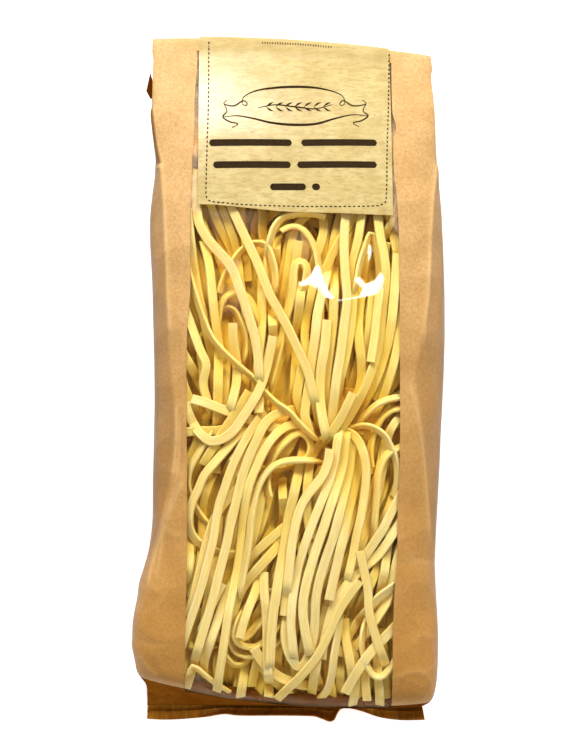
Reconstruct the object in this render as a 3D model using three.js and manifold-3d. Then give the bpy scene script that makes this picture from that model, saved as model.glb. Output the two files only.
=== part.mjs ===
// A kraft paper pack of dry ribbon pasta, lying on its back.
// The bag is a gusseted paper tube whose front is a clear film window between two paper strips. Its bottom
// end is pinched into a flat seam, its top end is folded over, and a paper label is wrapped over that fold.
// Inside, two long sheaves of flat egg ribbons, pinched where they meet, fill the bag.
//
// Frame: millimetres, +Z up out of the window, +Y towards the folded top, +X to the right of the window.
// The pack is drawn straight first, with y = 0 near its middle, and every point then goes through settle(),
// which gives it the lean and the uneven ends of a handled paper bag.
import * as THREE from "three";
import Module from "manifold-3d";

const wasm = await Module();
wasm.setup();

// ---- Driving dimensions ---------------------------------------------------------------------------
const PAPER = 0.6; // wall of the bag, as stiff as the paper with its folds
const FILM = 0.4;
const LABEL = 0.4;
const PLAY = 0.3; // least gap between two pieces that touch
const WINDOW_HALF = 40; // half the width between the two paper strips
const FILM_LAP = 3.5; // the film runs this far under each strip
const SEAM_Y = -132.2; // where the bottom panel meets the flat seam
const FOLD_Y = 129; // where the rounded top fold starts
const FILM_INSET = PAPER + 2 * PLAY; // the film lies this far inside the bag's outer surface
const FILL_INSET = FILM_INSET + FILM + PLAY; // and the pasta this far
const RIBBON_WIDTH = 4;
const RIBBON_THICK = 1.3;

// How the bag changes along its length, each a list of [y, value].
const LEFT_HALF = [[-132, 57], [-122, 59.5], [-112, 62.3], [-101, 62.3], [-86, 60], [-67, 56], [-40, 54.8],
  [-8, 54.3], [35, 55.7], [60, 57], [83, 55.2], [104, 56.6], [134, 55.4]];
const RIGHT_HALF = [[-132, 55.5], [-122, 56.8], [-100, 57.4], [-70, 55.8], [-28, 57.1], [16, 58.5],
  [60, 57.6], [83, 56.4], [108, 55.6], [134, 52.6]];
const FRONT_HEIGHT = [[-132.2, 4], [-130, 18], [-128, 33], [-126, 42.5], [-122.8, 47.6], [-117, 50.3],
  [-105, 52.5], [-70, 54], [-20, 54], [20, 52], [60, 45.5], [90, 37], [112, 28.5], [129, 20.5]];
const BACK_HEIGHT = [[-132.2, 0], [50, 0], [74, 2.6], [100, 7], [129, 12]];
const FRONT_SQUARE = [[-134, 6], [-118, 5.5], [-70, 3.6], [-10, 3.1], [55, 3.4], [95, 4.6], [129, 6]];
const GUSSET_FOLD = [[-134, 0], [66, 0], [84, 3], [104, 9.5], [129, 11.5]]; // how deep the side folds in
const SWAY = [[-134, 0.3], [-90, 0.8], [-50, 1.7], [0, 2.2], [60, 2.7], [134, 2.4]];
const BACK_SQUARE = 7; // the back is flatter than the front
const FLOOR_PRESS = 0.8; // how far the rounded back is pressed flat
const BOX_CENTRE = [-0.385, -1.23]; // middle of the settled pack, which becomes the origin

const RINGS = 28; // sections along the bag
const RING_SIDE = 16; // steps across the front of a section, and as many across its back
const SHEET_COLUMNS = 6; // steps across the film

// ---- Numbers that vary --------------------------------------------------------------------------
// The value at y of a list of [y, value], along a smooth curve through them.
function along(keys, y) {
  const last = keys.length - 1;
  if (y <= keys[0][0]) return keys[0][1];
  if (y >= keys[last][0]) return keys[last][1];
  const i = keys.findIndex((key) => key[0] > y) - 1;
  const slope = (k) => {
    const [a, b] = [keys[Math.max(k - 1, 0)], keys[Math.min(k + 1, last)]];
    return (b[1] - a[1]) / (b[0] - a[0]);
  };
  const [[y0, v0], [y1, v1]] = [keys[i], keys[i + 1]];
  const span = y1 - y0;
  const t = (y - y0) / span;
  const [t2, t3] = [t * t, t * t * t];
  return (2 * t3 - 3 * t2 + 1) * v0 + (t3 - 2 * t2 + t) * span * slope(i)
    + (3 * t2 - 2 * t3) * v1 + (t3 - t2) * span * slope(i + 1);
}

function smooth(from, to, y) {
  return THREE.MathUtils.smoothstep(y, from, to);
}

// A seeded stream of numbers from 0 to 1.
function randoms(seed) {
  let state = seed;
  return () => {
    state = (state * 1664525 + 1013904223) % 4294967296;
    return state / 4294967296;
  };
}

// ---- The bag's form -----------------------------------------------------------------------------
// Leans the straight pack to one side and slants its two ends. The seam stays straight on the table, so the
// bottom panel leans further out on the left, where its upper edge is drawn back.
function settle([x, y, z]) {
  const across = x / 57;
  const bottom = 4.6 * across * across - 4.6 * across;
  const top = -3.6 * across - 2.7 * across * across;
  const down = (1 - smooth(-118, -60, y)) * smooth(0, 40, z);
  const up = smooth(20, 125, y);
  return [x + along(SWAY, y) - BOX_CENTRE[0], y + down * bottom + up * top - BOX_CENTRE[1], z];
}

// The section at a place from 0 at the seam to 1 at the fold, taken in by inset on every side.
function section(place, inset = 0) {
  const radius = (along(FRONT_HEIGHT, FOLD_Y) - along(BACK_HEIGHT, FOLD_Y)) / 2;
  const end = FOLD_Y + 0.996 * radius;
  const y = SEAM_Y + place * (end - SEAM_Y);
  const [front, back] = [along(FRONT_HEIGHT, y), along(BACK_HEIGHT, y)];
  const rounded = y > FOLD_Y ? Math.sqrt(radius * radius - (y - FOLD_Y) ** 2) : (front - back) / 2;
  const middle = (SEAM_Y + end) / 2;
  const fold = along(GUSSET_FOLD, y);
  const spare = 0.42 * fold; // where a side folds in, its two edges stand out
  return {
    y: middle + (y - middle) * (1 - inset / (end - middle)),
    left: along(LEFT_HALF, y) + spare - inset,
    right: along(RIGHT_HALF, y) + spare - inset,
    middle: (front + back) / 2,
    half: Math.max(rounded - inset, 0.05),
    square: along(FRONT_SQUARE, y),
    fold,
    floor: inset,
  };
}

// Height of a section's front or back (side +1 or -1) at a distance x from its middle.
function heightAt(s, x, side) {
  const reach = Math.min(Math.abs(x) / (x < 0 ? s.left : s.right), 1);
  const square = side > 0 ? s.square : BACK_SQUARE;
  const share = (1 - reach ** square) ** (1 / square);
  const press = side < 0 ? FLOOR_PRESS * share * Math.min(s.half / 8, 1) : 0;
  return Math.max(s.middle + side * s.half * share - press, s.floor);
}

// The closed outline of a section: across the front from right to left, then back under it.
function ringOf(s) {
  const points = [];
  for (let i = 0; i < 2 * RING_SIDE; i++) {
    const turn = (Math.PI * i) / RING_SIDE;
    const side = i <= RING_SIDE ? 1 : -1;
    const reach = Math.cos(turn);
    const x = reach * (reach < 0 ? s.left : s.right);
    const z = heightAt(s, x, side);
    const inward = s.fold * Math.max(1 - Math.abs(z - s.middle) / s.half, 0);
    points.push([x - Math.sign(reach) * inward, s.y, z]);
  }
  return points;
}

// Places along the bag, closest together at both ends.
function places(count, from = 0, to = 1) {
  return Array.from({ length: count + 1 }, (_, i) => {
    const eased = (1 - Math.cos((Math.PI * i) / count)) / 2;
    return from + (to - from) * eased;
  });
}

// ---- Building solids ----------------------------------------------------------------------------
// A solid from points and triangles, each point settled.
function solid(points, triangles) {
  return new wasm.Manifold(new wasm.Mesh({
    numProp: 3,
    vertProperties: new Float32Array(points.flatMap(settle)),
    triVerts: new Uint32Array(triangles.flat()),
  }));
}

// A solid skinned over closed rings with as many points each, its ends closed on their centres.
function skin(rings) {
  const count = rings[0].length;
  const points = rings.flat();
  const triangles = [];
  rings.slice(1).forEach((_, r) => {
    for (let i = 0; i < count; i++) {
      const [a, b] = [r * count + i, r * count + ((i + 1) % count)];
      triangles.push([a, a + count, b + count], [a, b + count, b]);
    }
  });
  [[0, 1], [rings.length - 1, -1]].forEach(([r, way]) => {
    const centre = [0, 1, 2].map((k) => rings[r].reduce((sum, p) => sum + p[k], 0) / count);
    points.push(centre);
    for (let i = 0; i < count; i++) {
      const [a, b] = [r * count + i, r * count + ((i + 1) % count)];
      triangles.push(way > 0 ? [points.length - 1, a, b] : [points.length - 1, b, a]);
    }
  });
  return solid(points, triangles);
}

// A solid between two grids of points, upper(i, j) over lower(i, j).
function slab(rows, columns, upper, lower) {
  const points = [];
  const triangles = [];
  const at = (i, j, layer) => (i * (columns + 1) + j) * 2 + layer;
  for (let i = 0; i <= rows; i++) {
    for (let j = 0; j <= columns; j++) points.push(upper(i, j), lower(i, j));
  }
  const quad = (a, b, c, d) => triangles.push([a, b, c], [a, c, d]);
  for (let i = 0; i < rows; i++) {
    for (let j = 0; j < columns; j++) {
      quad(at(i, j, 0), at(i, j + 1, 0), at(i + 1, j + 1, 0), at(i + 1, j, 0));
      quad(at(i, j, 1), at(i + 1, j, 1), at(i + 1, j + 1, 1), at(i, j + 1, 1));
    }
    quad(at(i, 0, 0), at(i + 1, 0, 0), at(i + 1, 0, 1), at(i, 0, 1));
    quad(at(i, columns, 0), at(i, columns, 1), at(i + 1, columns, 1), at(i + 1, columns, 0));
  }
  for (let j = 0; j < columns; j++) {
    quad(at(0, j, 0), at(0, j, 1), at(0, j + 1, 1), at(0, j + 1, 0));
    quad(at(rows, j, 0), at(rows, j + 1, 0), at(rows, j + 1, 1), at(rows, j, 1));
  }
  return solid(points, triangles);
}

// A solid under the front between two ends, from one depth inside it down to lower(place, x).
function underFront(half, stations, depth, lower) {
  const x = (j) => half * ((2 * j) / SHEET_COLUMNS - 1);
  const upper = stations.map((place) => section(place, depth));
  return slab(stations.length - 1, SHEET_COLUMNS,
    (i, j) => [x(j), upper[i].y, heightAt(upper[i], x(j), 1)],
    (i, j) => lower(stations[i], x(j)));
}

// ---- The pieces ---------------------------------------------------------------------------------
// The flat seam below the bottom panel. Its ends lie down and its middle is lifted, with one small notch.
function seam() {
  const [from, columns, rows] = [-131.6, 28, 3];
  const half = 56.4;
  const reach = (x) => {
    const arch = 2.6 * (1 - smooth(26, 48, Math.abs(x + 4)));
    const tab = 2.4 * smooth(8, 15, x) * (1 - smooth(18, 20, x));
    const notch = 2.6 * smooth(18, 20, x) * (1 - smooth(27, 44, x));
    return 6 - arch + tab - notch;
  };
  const middle = (i, j) => {
    const x = half * ((2 * j) / columns - 1) - 1.4;
    const out = i / rows;
    const lift = 5.5 * (1 - smooth(10, 46, Math.abs(x + 2)));
    const rise = 1.5 + lift * out * out + 0.5 * Math.sin(x / 6) * out;
    return [x, from - reach(x) * out, rise];
  };
  const shifted = (dz) => (i, j) => {
    const [x, y, z] = middle(rows - i, j);
    return [x, y, z + dz];
  };
  return slab(rows, columns, shifted(PAPER), shifted(-PAPER));
}

// The paper: a shell the shape of the bag, open at the window, with the seam at its bottom.
function paperBag() {
  const stations = places(RINGS);
  const outside = skin(stations.map((place) => ringOf(section(place))));
  const inside = skin(stations.map((place) => ringOf(section(place, PAPER))));
  const window = underFront(WINDOW_HALF, places(24, 0.004, 0.985), -30,
    (place, x) => [x, section(place, -30).y, section(place).middle]);
  return outside.subtract(inside).subtract(window).add(seam()).simplify(0.02);
}

// The clear film, just inside the paper strips.
function windowFilm() {
  const stations = places(RINGS).slice(1, -2);
  return underFront(WINDOW_HALF + FILM_LAP, stations, FILM_INSET, (place, x) => {
    const s = section(place, FILM_INSET + FILM);
    return [x, s.y, heightAt(s, x, 1)];
  });
}

// The label: one strip of paper up the front, round the fold and down the back.
function label() {
  const [bottom, half, columns, straight, bends] = [66, 37.6, 6, 7, 6];
  const back = 80; // where its end lies on the back
  const radius = section(1).middle - along(BACK_HEIGHT, FOLD_Y);
  const steps = 2 * straight + bends;
  const x = (j) => half * ((2 * j) / columns - 1);
  const at = (i, j, lift) => {
    const bend = (i - straight) / bends;
    if (bend >= 0 && bend <= 1) {
      const angle = Math.PI * (0.5 - bend);
      const flat = sectionAt(FOLD_Y);
      const tall = (heightAt(flat, x(j), 1) - heightAt(flat, x(j), -1)) / 2 + lift;
      const centre = (heightAt(flat, x(j), 1) + heightAt(flat, x(j), -1)) / 2;
      return [x(j), FOLD_Y + (radius + lift) * Math.cos(angle), centre + tall * Math.sin(angle)];
    }
    const share = bend < 0 ? i / straight : (steps - i) / straight;
    const y = (bend < 0 ? bottom : back) * (1 - share) + FOLD_Y * share;
    const side = bend < 0 ? 1 : -1;
    return [x(j), y, heightAt(sectionAt(y), x(j), side) + side * lift];
  };
  return slab(steps, columns, (i, j) => at(i, j, PLAY + LABEL), (i, j) => at(i, j, PLAY));
}

// The outer section at a given y.
function sectionAt(y) {
  const length = section(1).y - section(0).y;
  return section((y - section(0).y) / length);
}

// One flat ribbon along a route of [x, y, depth below the film, roll], as a four-sided solid.
function ribbon(route, steps) {
  const curve = new THREE.CatmullRomCurve3(route.map(([x, y, depth]) => {
    const s = sectionAt(y);
    return new THREE.Vector3(x, y, heightAt(s, x, 1) - FILL_INSET - depth);
  }), false, "centripetal");
  const rings = [];
  for (let i = 0; i <= steps; i++) {
    const t = i / steps;
    const centre = curve.getPoint(t);
    const heading = curve.getTangent(t);
    const knot = Math.min(t * (route.length - 1), route.length - 1.001);
    const k = Math.floor(knot);
    const roll = THREE.MathUtils.lerp(route[k][3], route[k + 1][3], smooth(0, 1, knot - k));
    const flat = new THREE.Vector3(heading.y, -heading.x, 0).normalize();
    const wide = flat.applyAxisAngle(heading, THREE.MathUtils.degToRad(roll));
    const thick = new THREE.Vector3().crossVectors(wide, heading);
    rings.push([[1, 1], [-1, 1], [-1, -1], [1, -1]].map(([w, h]) => centre.clone()
      .addScaledVector(wide, (w * RIBBON_WIDTH) / 2)
      .addScaledVector(thick, (h * RIBBON_THICK) / 2).toArray()));
  }
  return skin(rings);
}

// Routes of the ribbons that show: two sheaves, each fanning out from the pinch, and hairpins at the pinch.
function routes() {
  const draw = randoms(41);
  const spread = (amount) => amount * (2 * draw() - 1);
  const found = [];
  const sheaf = (count, pinch, far, pinchY, farY) => {
    for (let i = 0; i < count; i++) {
      const u = (i + 0.5) / count;
      const level = (i * 2) % 3; // neighbours lie at different depths
      const [x0, x1] = [pinch, far].map(([a, b]) => THREE.MathUtils.lerp(a, b, u));
      const start = [x0 + spread(3), pinchY + spread(9)];
      const end = [x1 + spread(3), farY + spread(7)];
      const depth = 0.9 + 1.25 * level;
      const bow = spread(4);
      found.push([1, 0.66, 0.33, 0].map((share, k) => [
        THREE.MathUtils.lerp(end[0], start[0], share) + (k % 3 ? bow : 0),
        THREE.MathUtils.lerp(end[1], start[1], share),
        k % 3 ? depth : 4.4,
        k % 3 ? spread(22) : 0,
      ]));
    }
  };
  sheaf(18, [-20, 34], [-37, 37], -24, -116);
  sheaf(18, [-30, 36], [-37, 37], -16, 88);
  [[-27, -8], [8, 28], [24, 38], [-34, -24]].forEach(([left, right], i) => {
    const [top, foot] = [-17 - 2 * i, -62 - 6 * i];
    found.push([[left - 6, foot, 4.6, 20], [left - 1, top - 18, 2.6, 65], [(left + right) / 2, top, 2.1, 90],
      [right + 1, top - 16, 2.6, 65], [right + 2, foot - 12, 4.6, 20]]);
  });
  return found;
}

// The heap: a core that fills the bag behind the window, with the ribbons that show fused on it.
function pasta() {
  const drop = 3.2; // the core's top lies this much lower than the ribbons may reach
  const core = skin(places(18, 0.03, 0.87).map((place) => {
    const s = section(place, FILL_INSET);
    return ringOf({ ...s, middle: s.middle - drop / 2, half: s.half - drop / 2, fold: s.fold * 1.3 });
  }));
  const limit = underFront(WINDOW_HALF + FILM_LAP, places(RINGS).slice(1, -2), FILL_INSET,
    (place, x) => [x, section(place, FILL_INSET).y, FILL_INSET + 1]);
  const found = routes().map((route) => ribbon(route, 7));
  const heap = wasm.Manifold.union(found).intersect(limit).add(core).simplify(0.05);
  const pieces = heap.decompose().sort((a, b) => b.volume() - a.volume());
  return pieces[0];
}

// ---- The pack -----------------------------------------------------------------------------------
// A named mesh from a solid.
function mesh(name, made, colour, roughness, clear = 1) {
  const { numProp, vertProperties, triVerts } = made.getMesh();
  const count = vertProperties.length / numProp;
  const positions = new Float32Array(3 * count);
  for (let i = 0; i < count; i++) positions.set(vertProperties.subarray(i * numProp, i * numProp + 3), 3 * i);
  const geometry = new THREE.BufferGeometry()
    .setAttribute("position", new THREE.BufferAttribute(positions, 3))
    .setIndex(new THREE.BufferAttribute(triVerts, 1));
  geometry.computeVertexNormals();
  const material = new THREE.MeshStandardMaterial({
    color: colour, roughness, metalness: 0, transparent: clear < 1, opacity: clear, flatShading: true,
  });
  const named = new THREE.Mesh(geometry, material);
  named.name = name;
  return named;
}

const pack = new THREE.Group();
pack.add(
  mesh("paper_bag", paperBag(), "#c9985c", 0.85),
  mesh("window_film", windowFilm(), "#f4f2ea", 0.1, 0.25),
  mesh("label", label(), "#e9d59a", 0.6),
  mesh("pasta", pasta(), "#ecd27a", 0.7),
);

export default pack;
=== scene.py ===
"""A kraft paper window pack of dry ribbon pasta, lying on its back on a white table and seen from above.

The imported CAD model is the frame. Finer pieces of the same form stand for its four nodes: the creased paper
bag with its seam, the clear film, the label with its print, and the heap of ribbons.

Lengths are millimetres in the row's frame (+X right, +Y towards the folded top, +Z up); MM turns them into
Blender's metres. The pack is drawn straight first, and settle() then leans it and slants its ends. Lines and
outlines on it are written "x,y x,y" in the coordinates of the 562 x 750 reference view, "in pixels" for
short, and Camera.on_front() finds them on the pack.
"""
import math
import random
from types import SimpleNamespace

import bpy
import numpy as np
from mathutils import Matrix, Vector, noise
from numpy.lib.stride_tricks import sliding_window_view


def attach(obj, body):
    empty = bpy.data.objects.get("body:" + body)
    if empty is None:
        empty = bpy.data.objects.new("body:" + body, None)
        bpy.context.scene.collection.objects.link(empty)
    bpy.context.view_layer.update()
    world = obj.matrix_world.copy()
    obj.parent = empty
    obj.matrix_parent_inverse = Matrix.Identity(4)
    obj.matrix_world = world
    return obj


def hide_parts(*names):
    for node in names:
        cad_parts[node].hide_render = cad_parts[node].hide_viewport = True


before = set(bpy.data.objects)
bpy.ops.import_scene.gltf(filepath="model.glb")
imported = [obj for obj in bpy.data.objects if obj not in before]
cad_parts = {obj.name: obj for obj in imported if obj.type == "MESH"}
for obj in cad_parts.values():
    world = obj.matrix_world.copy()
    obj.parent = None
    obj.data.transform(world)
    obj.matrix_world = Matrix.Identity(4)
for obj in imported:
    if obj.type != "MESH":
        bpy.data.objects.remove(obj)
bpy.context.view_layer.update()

MM = 0.001

# ---- Driving dimensions, the same as the CAD part's ----
PLAY = 0.3  # gap between two pieces that touch
WINDOW_HALF = 40  # half the width between the two paper strips
FILM_LAP = 3.5  # the film runs this far under each strip
SEAM_Y = -132.2  # where the bottom panel meets the flat seam
FOLD_Y = 129  # where the rounded top fold starts
BACK_SQUARE = 7  # the back is flatter than the front
FLOOR_PRESS = 0.8  # how far the rounded back is pressed flat
BOX_CENTRE = (-0.385, -1.23)  # middle of the settled pack, which becomes the origin
HALF_WIDTH = 57
BOTTOM_SLANT = (-4.6, 4.6)  # how far an end moves along y at half the width: a straight and a bent share
TOP_SLANT = (-3.6, -2.7)
GUSSET_OUT = 0.42  # where a side folds in, its two edges stand out by this share of the fold's depth

# How the bag changes along its length, each a list of (y, value).
LEFT_HALF = [(-132, 57), (-122, 59.5), (-112, 62.3), (-101, 62.3), (-86, 60), (-67, 56), (-40, 54.8),
             (-8, 54.3), (35, 55.7), (60, 57), (83, 55.2), (104, 56.6), (134, 55.4)]
RIGHT_HALF = [(-132, 55.5), (-122, 56.8), (-100, 57.4), (-70, 55.8), (-28, 57.1), (16, 58.5), (60, 57.6),
              (83, 56.4), (108, 55.6), (134, 52.6)]
FRONT_HEIGHT = [(-132.2, 4), (-130, 18), (-128, 33), (-126, 42.5), (-122.8, 47.6), (-117, 50.3), (-105, 52.5),
                (-70, 54), (-20, 54), (20, 52), (60, 45.5), (90, 37), (112, 28.5), (129, 20.5)]
BACK_HEIGHT = [(-132.2, 0), (50, 0), (74, 2.6), (100, 7), (129, 12)]
FRONT_SQUARE = [(-134, 6), (-118, 5.5), (-70, 3.6), (-10, 3.1), (55, 3.4), (95, 4.6), (129, 6)]
GUSSET_FOLD = [(-134, 0), (66, 0), (84, 3), (104, 9.5), (129, 11.5)]
SWAY = [(-134, 0.3), (-90, 0.8), (-50, 1.7), (0, 2.2), (60, 2.7), (134, 2.4)]

# In this file alone.
CORNER_Y = -126  # where the front turns down into the bottom panel
FILM_END_Y = CORNER_Y - 1.6  # the film's lower end


# ---- Numbers that vary ----
def curve_of(keys):
    """The smooth curve through (place, value) keys, as a function of place."""
    at = np.array([key[0] for key in keys], float)
    value = np.array([key[1] for key in keys], float)
    before = np.maximum(np.arange(len(keys)) - 1, 0)
    after = np.minimum(np.arange(len(keys)) + 1, len(keys) - 1)
    slope = (value[after] - value[before]) / (at[after] - at[before])

    def curve(y):
        y = np.clip(y, at[0], at[-1])
        i = np.clip(np.searchsorted(at, y, side="right") - 1, 0, len(at) - 2)
        span = at[i + 1] - at[i]
        t = (y - at[i]) / span
        t2, t3 = t * t, t * t * t
        return ((2 * t3 - 3 * t2 + 1) * value[i] + (t3 - 2 * t2 + t) * span * slope[i]
                + (3 * t2 - 2 * t3) * value[i + 1] + (t3 - t2) * span * slope[i + 1])

    return curve


left_half, right_half = curve_of(LEFT_HALF), curve_of(RIGHT_HALF)
front_height, back_height = curve_of(FRONT_HEIGHT), curve_of(BACK_HEIGHT)
front_square, gusset_fold, sway = curve_of(FRONT_SQUARE), curve_of(GUSSET_FOLD), curve_of(SWAY)


def smooth(low, high, value):
    """0 below low, 1 above high and a soft step between them."""
    t = np.clip((np.asarray(value, float) - low) / (high - low), 0, 1)
    return t * t * (3 - 2 * t)


# ---- The bag's form: the CAD part's, but with a sharper bend at the top fold ----
FOLD_RADIUS = float(front_height(FOLD_Y) - back_height(FOLD_Y)) / 2
END_Y = FOLD_Y + 0.996 * FOLD_RADIUS  # just short of the bend's tip, which has no height
MIDDLE_Y = (SEAM_Y + END_Y) / 2
FIRST_HEIGHT = 45.0  # a first guess at the front's height, for the searches below
FRONT_ROUNDS, UNSETTLE_ROUNDS = 4, 5


def settle(x, y, z):
    """Leans the straight pack and slants its two ends."""
    across = x / HALF_WIDTH
    bottom, top = [straight * across + bent * across * across for straight, bent in (BOTTOM_SLANT, TOP_SLANT)]
    down = (1 - smooth(-118, -60, y)) * smooth(0, 40, z)
    up = smooth(20, 125, y)
    return x + sway(y) - BOX_CENTRE[0], y + down * bottom + up * top - BOX_CENTRE[1]


def settled(x, y, z):
    """Points of the straight pack, settled."""
    x, y, z = np.broadcast_arrays(x, y, z)
    return np.stack([*settle(x, y, z), z], -1)


def unsettle(settled_x, settled_y, z):
    """The straight pack's x and y of a settled place."""
    x, y = settled_x, settled_y
    for _ in range(UNSETTLE_ROUNDS):
        moved_x, moved_y = settle(x, y, z)
        x, y = x + settled_x - moved_x, y + settled_y - moved_y
    return x, y


def section(y, inset=0.0):
    """The straight bag's outline across at y, taken in by inset on every side."""
    y = np.asarray(y, float)
    front, back = front_height(y), back_height(y)
    rounded = np.sqrt(np.maximum(FOLD_RADIUS * (FOLD_RADIUS - (y - FOLD_Y)), 0))
    fold = gusset_fold(y)
    return SimpleNamespace(
        y=MIDDLE_Y + (y - MIDDLE_Y) * (1 - inset / (END_Y - MIDDLE_Y)),
        left=left_half(y) + GUSSET_OUT * fold - inset,
        right=right_half(y) + GUSSET_OUT * fold - inset,
        middle=(front + back) / 2,
        half=np.maximum(np.where(y > FOLD_Y, rounded, (front - back) / 2) - inset, 0.05),
        square=front_square(y),
        fold=fold,
        floor=inset,
    )


def height_at(s, x, side):
    """Height of a section's front or back (side 1 or -1) at x."""
    reach = np.minimum(np.abs(x) / np.where(x < 0, s.left, s.right), 1)
    square = s.square if side > 0 else BACK_SQUARE
    share = (1 - reach ** square) ** (1 / square)
    press = FLOOR_PRESS * share * np.minimum(s.half / 8, 1) if side < 0 else 0
    return np.maximum(s.middle + side * s.half * share - press, s.floor)


def front_at(settled_x, settled_y, inset=0.0):
    """Height of the settled pack's front, inset into it, above a place on the table."""
    settled_x, settled_y = np.asarray(settled_x, float), np.asarray(settled_y, float)
    z = np.full(np.broadcast(settled_x, settled_y).shape, FIRST_HEIGHT)
    for _ in range(FRONT_ROUNDS):
        x, y = unsettle(settled_x, settled_y, z)
        outer_y = MIDDLE_Y + (y - MIDDLE_Y) / (1 - inset / (END_Y - MIDDLE_Y))
        z = height_at(section(np.clip(outer_y, SEAM_Y, END_Y), inset), x, 1)
    return z


# ---- The camera ----
def points_of(path):
    """The points of a line written "x,y x,y", or given as pairs."""
    if isinstance(path, str):
        path = [point.split(",") for point in path.split()]
    return np.array(path, float)


class Camera:
    """The reference view: straight down on (x, y), so many millimetres to a pixel on the table."""

    width, height = 562, 750
    up = 900.0
    per_pixel = 0.404
    origin_pixel = (287.3, 380.0)  # where the row's origin shows
    x = (width / 2 - origin_pixel[0]) * per_pixel
    y = (origin_pixel[1] - height / 2) * per_pixel

    @classmethod
    def at(cls, px, py, z):
        """The place at height z that shows at a pixel."""
        scale = cls.per_pixel * (cls.up - z) / cls.up
        return cls.x + (px - cls.width / 2) * scale, cls.y + (cls.height / 2 - py) * scale

    @classmethod
    def on_front(cls, pixels, inset=0.0):
        """The places on the pack's front, inset into it, that show at the pixels of a line."""
        pixels = points_of(pixels)
        z = np.full(len(pixels), FIRST_HEIGHT)
        for _ in range(FRONT_ROUNDS):
            x, y = cls.at(pixels[:, 0], pixels[:, 1], z)
            z = front_at(x, y, inset)
        return np.stack([x, y, z], 1)

    @classmethod
    def make(cls):
        """Adds the camera and looks through it."""
        data = bpy.data.cameras.new("view_from_above")
        data.sensor_width = 36
        half_height = cls.per_pixel * cls.height / 2
        data.lens = data.sensor_width / 2 / (half_height / cls.up)
        data.clip_end = 20
        camera = bpy.data.objects.new("view_from_above", data)
        bpy.context.scene.collection.objects.link(camera)
        camera.location = (cls.x * MM, cls.y * MM, cls.up * MM)
        bpy.context.scene.camera = camera


# ---- Making meshes ----
SHARP_ANGLE = math.radians(40)  # edges that bend more are shown sharp
FINE_POINTS = 30  # for each point given, before a line is cut into even steps


def make_piece(name, points, faces, material, **values):
    """A mesh object from points in millimetres and four-cornered faces, with named values a point."""
    points, faces = np.asarray(points, float).reshape(-1, 3), np.asarray(faces, int)
    mesh = bpy.data.meshes.new(name)
    mesh.vertices.add(len(points))
    mesh.vertices.foreach_set("co", (points * MM).astype(np.float32).ravel())
    mesh.loops.add(faces.size)
    mesh.loops.foreach_set("vertex_index", faces.astype(np.int32).ravel())
    mesh.polygons.add(len(faces))
    mesh.polygons.foreach_set("loop_start", np.arange(0, faces.size, 4, dtype=np.int32))
    for key, value in values.items():
        layer = mesh.attributes.new(key, "FLOAT", "POINT")
        layer.data.foreach_set("value", np.asarray(value, np.float32).ravel())
    mesh.update(calc_edges=True)
    mesh.validate()
    mesh.shade_smooth()
    mesh.set_sharp_from_angle(angle=SHARP_ANGLE)
    mesh.materials.append(material)
    piece = bpy.data.objects.new(name, mesh)
    bpy.context.scene.collection.objects.link(piece)
    return piece


def grid_faces(rows, columns, start=0, wrap=False):
    """The faces of a grid of points, rows x columns, that follow on from point number start."""
    i, j = np.meshgrid(np.arange(rows - 1), np.arange(columns if wrap else columns - 1), indexing="ij")
    a, b = start + i * columns + j, start + i * columns + (j + 1) % columns
    return np.stack([a, b, b + columns, a + columns], -1).reshape(-1, 4)


def unit(vectors):
    """Vectors along the last axis, made one long."""
    return vectors / np.maximum(np.linalg.norm(vectors, axis=-1, keepdims=True), 1e-9)


def normals_of(grid):
    """The unit normal at each point of a grid of points."""
    return unit(np.cross(np.gradient(grid, axis=1), np.gradient(grid, axis=0)))


def sheet_of(name, grid, thickness, material, **values):
    """A closed sheet from a grid of points on its outer face, its thickness inwards, with values a point."""
    rows, columns = shape = grid.shape[:2]
    inner = grid - normals_of(grid) * np.broadcast_to(thickness, shape)[..., None]
    count = rows * columns
    outside = grid_faces(rows, columns)
    inside = grid_faces(rows, columns, count)[:, ::-1]
    rim = np.concatenate([
        np.arange(columns), np.arange(1, rows) * columns + columns - 1,
        (rows - 1) * columns + np.arange(columns - 2, -1, -1), np.arange(rows - 2, 0, -1) * columns])
    turn = np.roll(rim, -1)
    edge = np.stack([rim, rim + count, turn + count, turn], -1)
    points = np.concatenate([grid.reshape(-1, 3), inner.reshape(-1, 3)])
    both = {key: np.tile(np.broadcast_to(value, shape).ravel(), 2) for key, value in values.items()}
    return make_piece(name, points, np.concatenate([outside, inside, edge]), material, **both)


def strides(line):
    """The lengths of a polyline's parts."""
    return np.linalg.norm(np.diff(line, axis=0), axis=1)


def resample(line, share):
    """Points at shares 0 to 1 of the length along a polyline."""
    length = np.append(0, np.cumsum(strides(line)))
    return np.stack([np.interp(share * length[-1], length, values) for values in line.T], 1)


def rounded_line(points, step):
    """A smooth line through points, with one point about every step."""
    if len(points) == 2:
        fine = resample(points, np.linspace(0, 1, FINE_POINTS))
    else:
        length = np.append(0, np.cumsum(np.sqrt(strides(points))))
        at = np.linspace(0, length[-1], FINE_POINTS * len(points))
        fine = np.stack([curve_of(list(zip(length, values)))(at) for values in points.T], 1)
    return resample(fine, np.linspace(0, 1, max(int(strides(fine).sum() / step), 2) + 1))


def distance_to(line, x, y):
    """How far places are from a polyline of [x, y]."""
    best = np.full(np.shape(x), 1e9)
    for (ax, ay), (bx, by) in zip(line[:-1], line[1:]):
        dx, dy = bx - ax, by - ay
        t = np.clip(((x - ax) * dx + (y - ay) * dy) / max(dx * dx + dy * dy, 1e-9), 0, 1)
        best = np.minimum(best, np.hypot(x - ax - t * dx, y - ay - t * dy))
    return best


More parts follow.
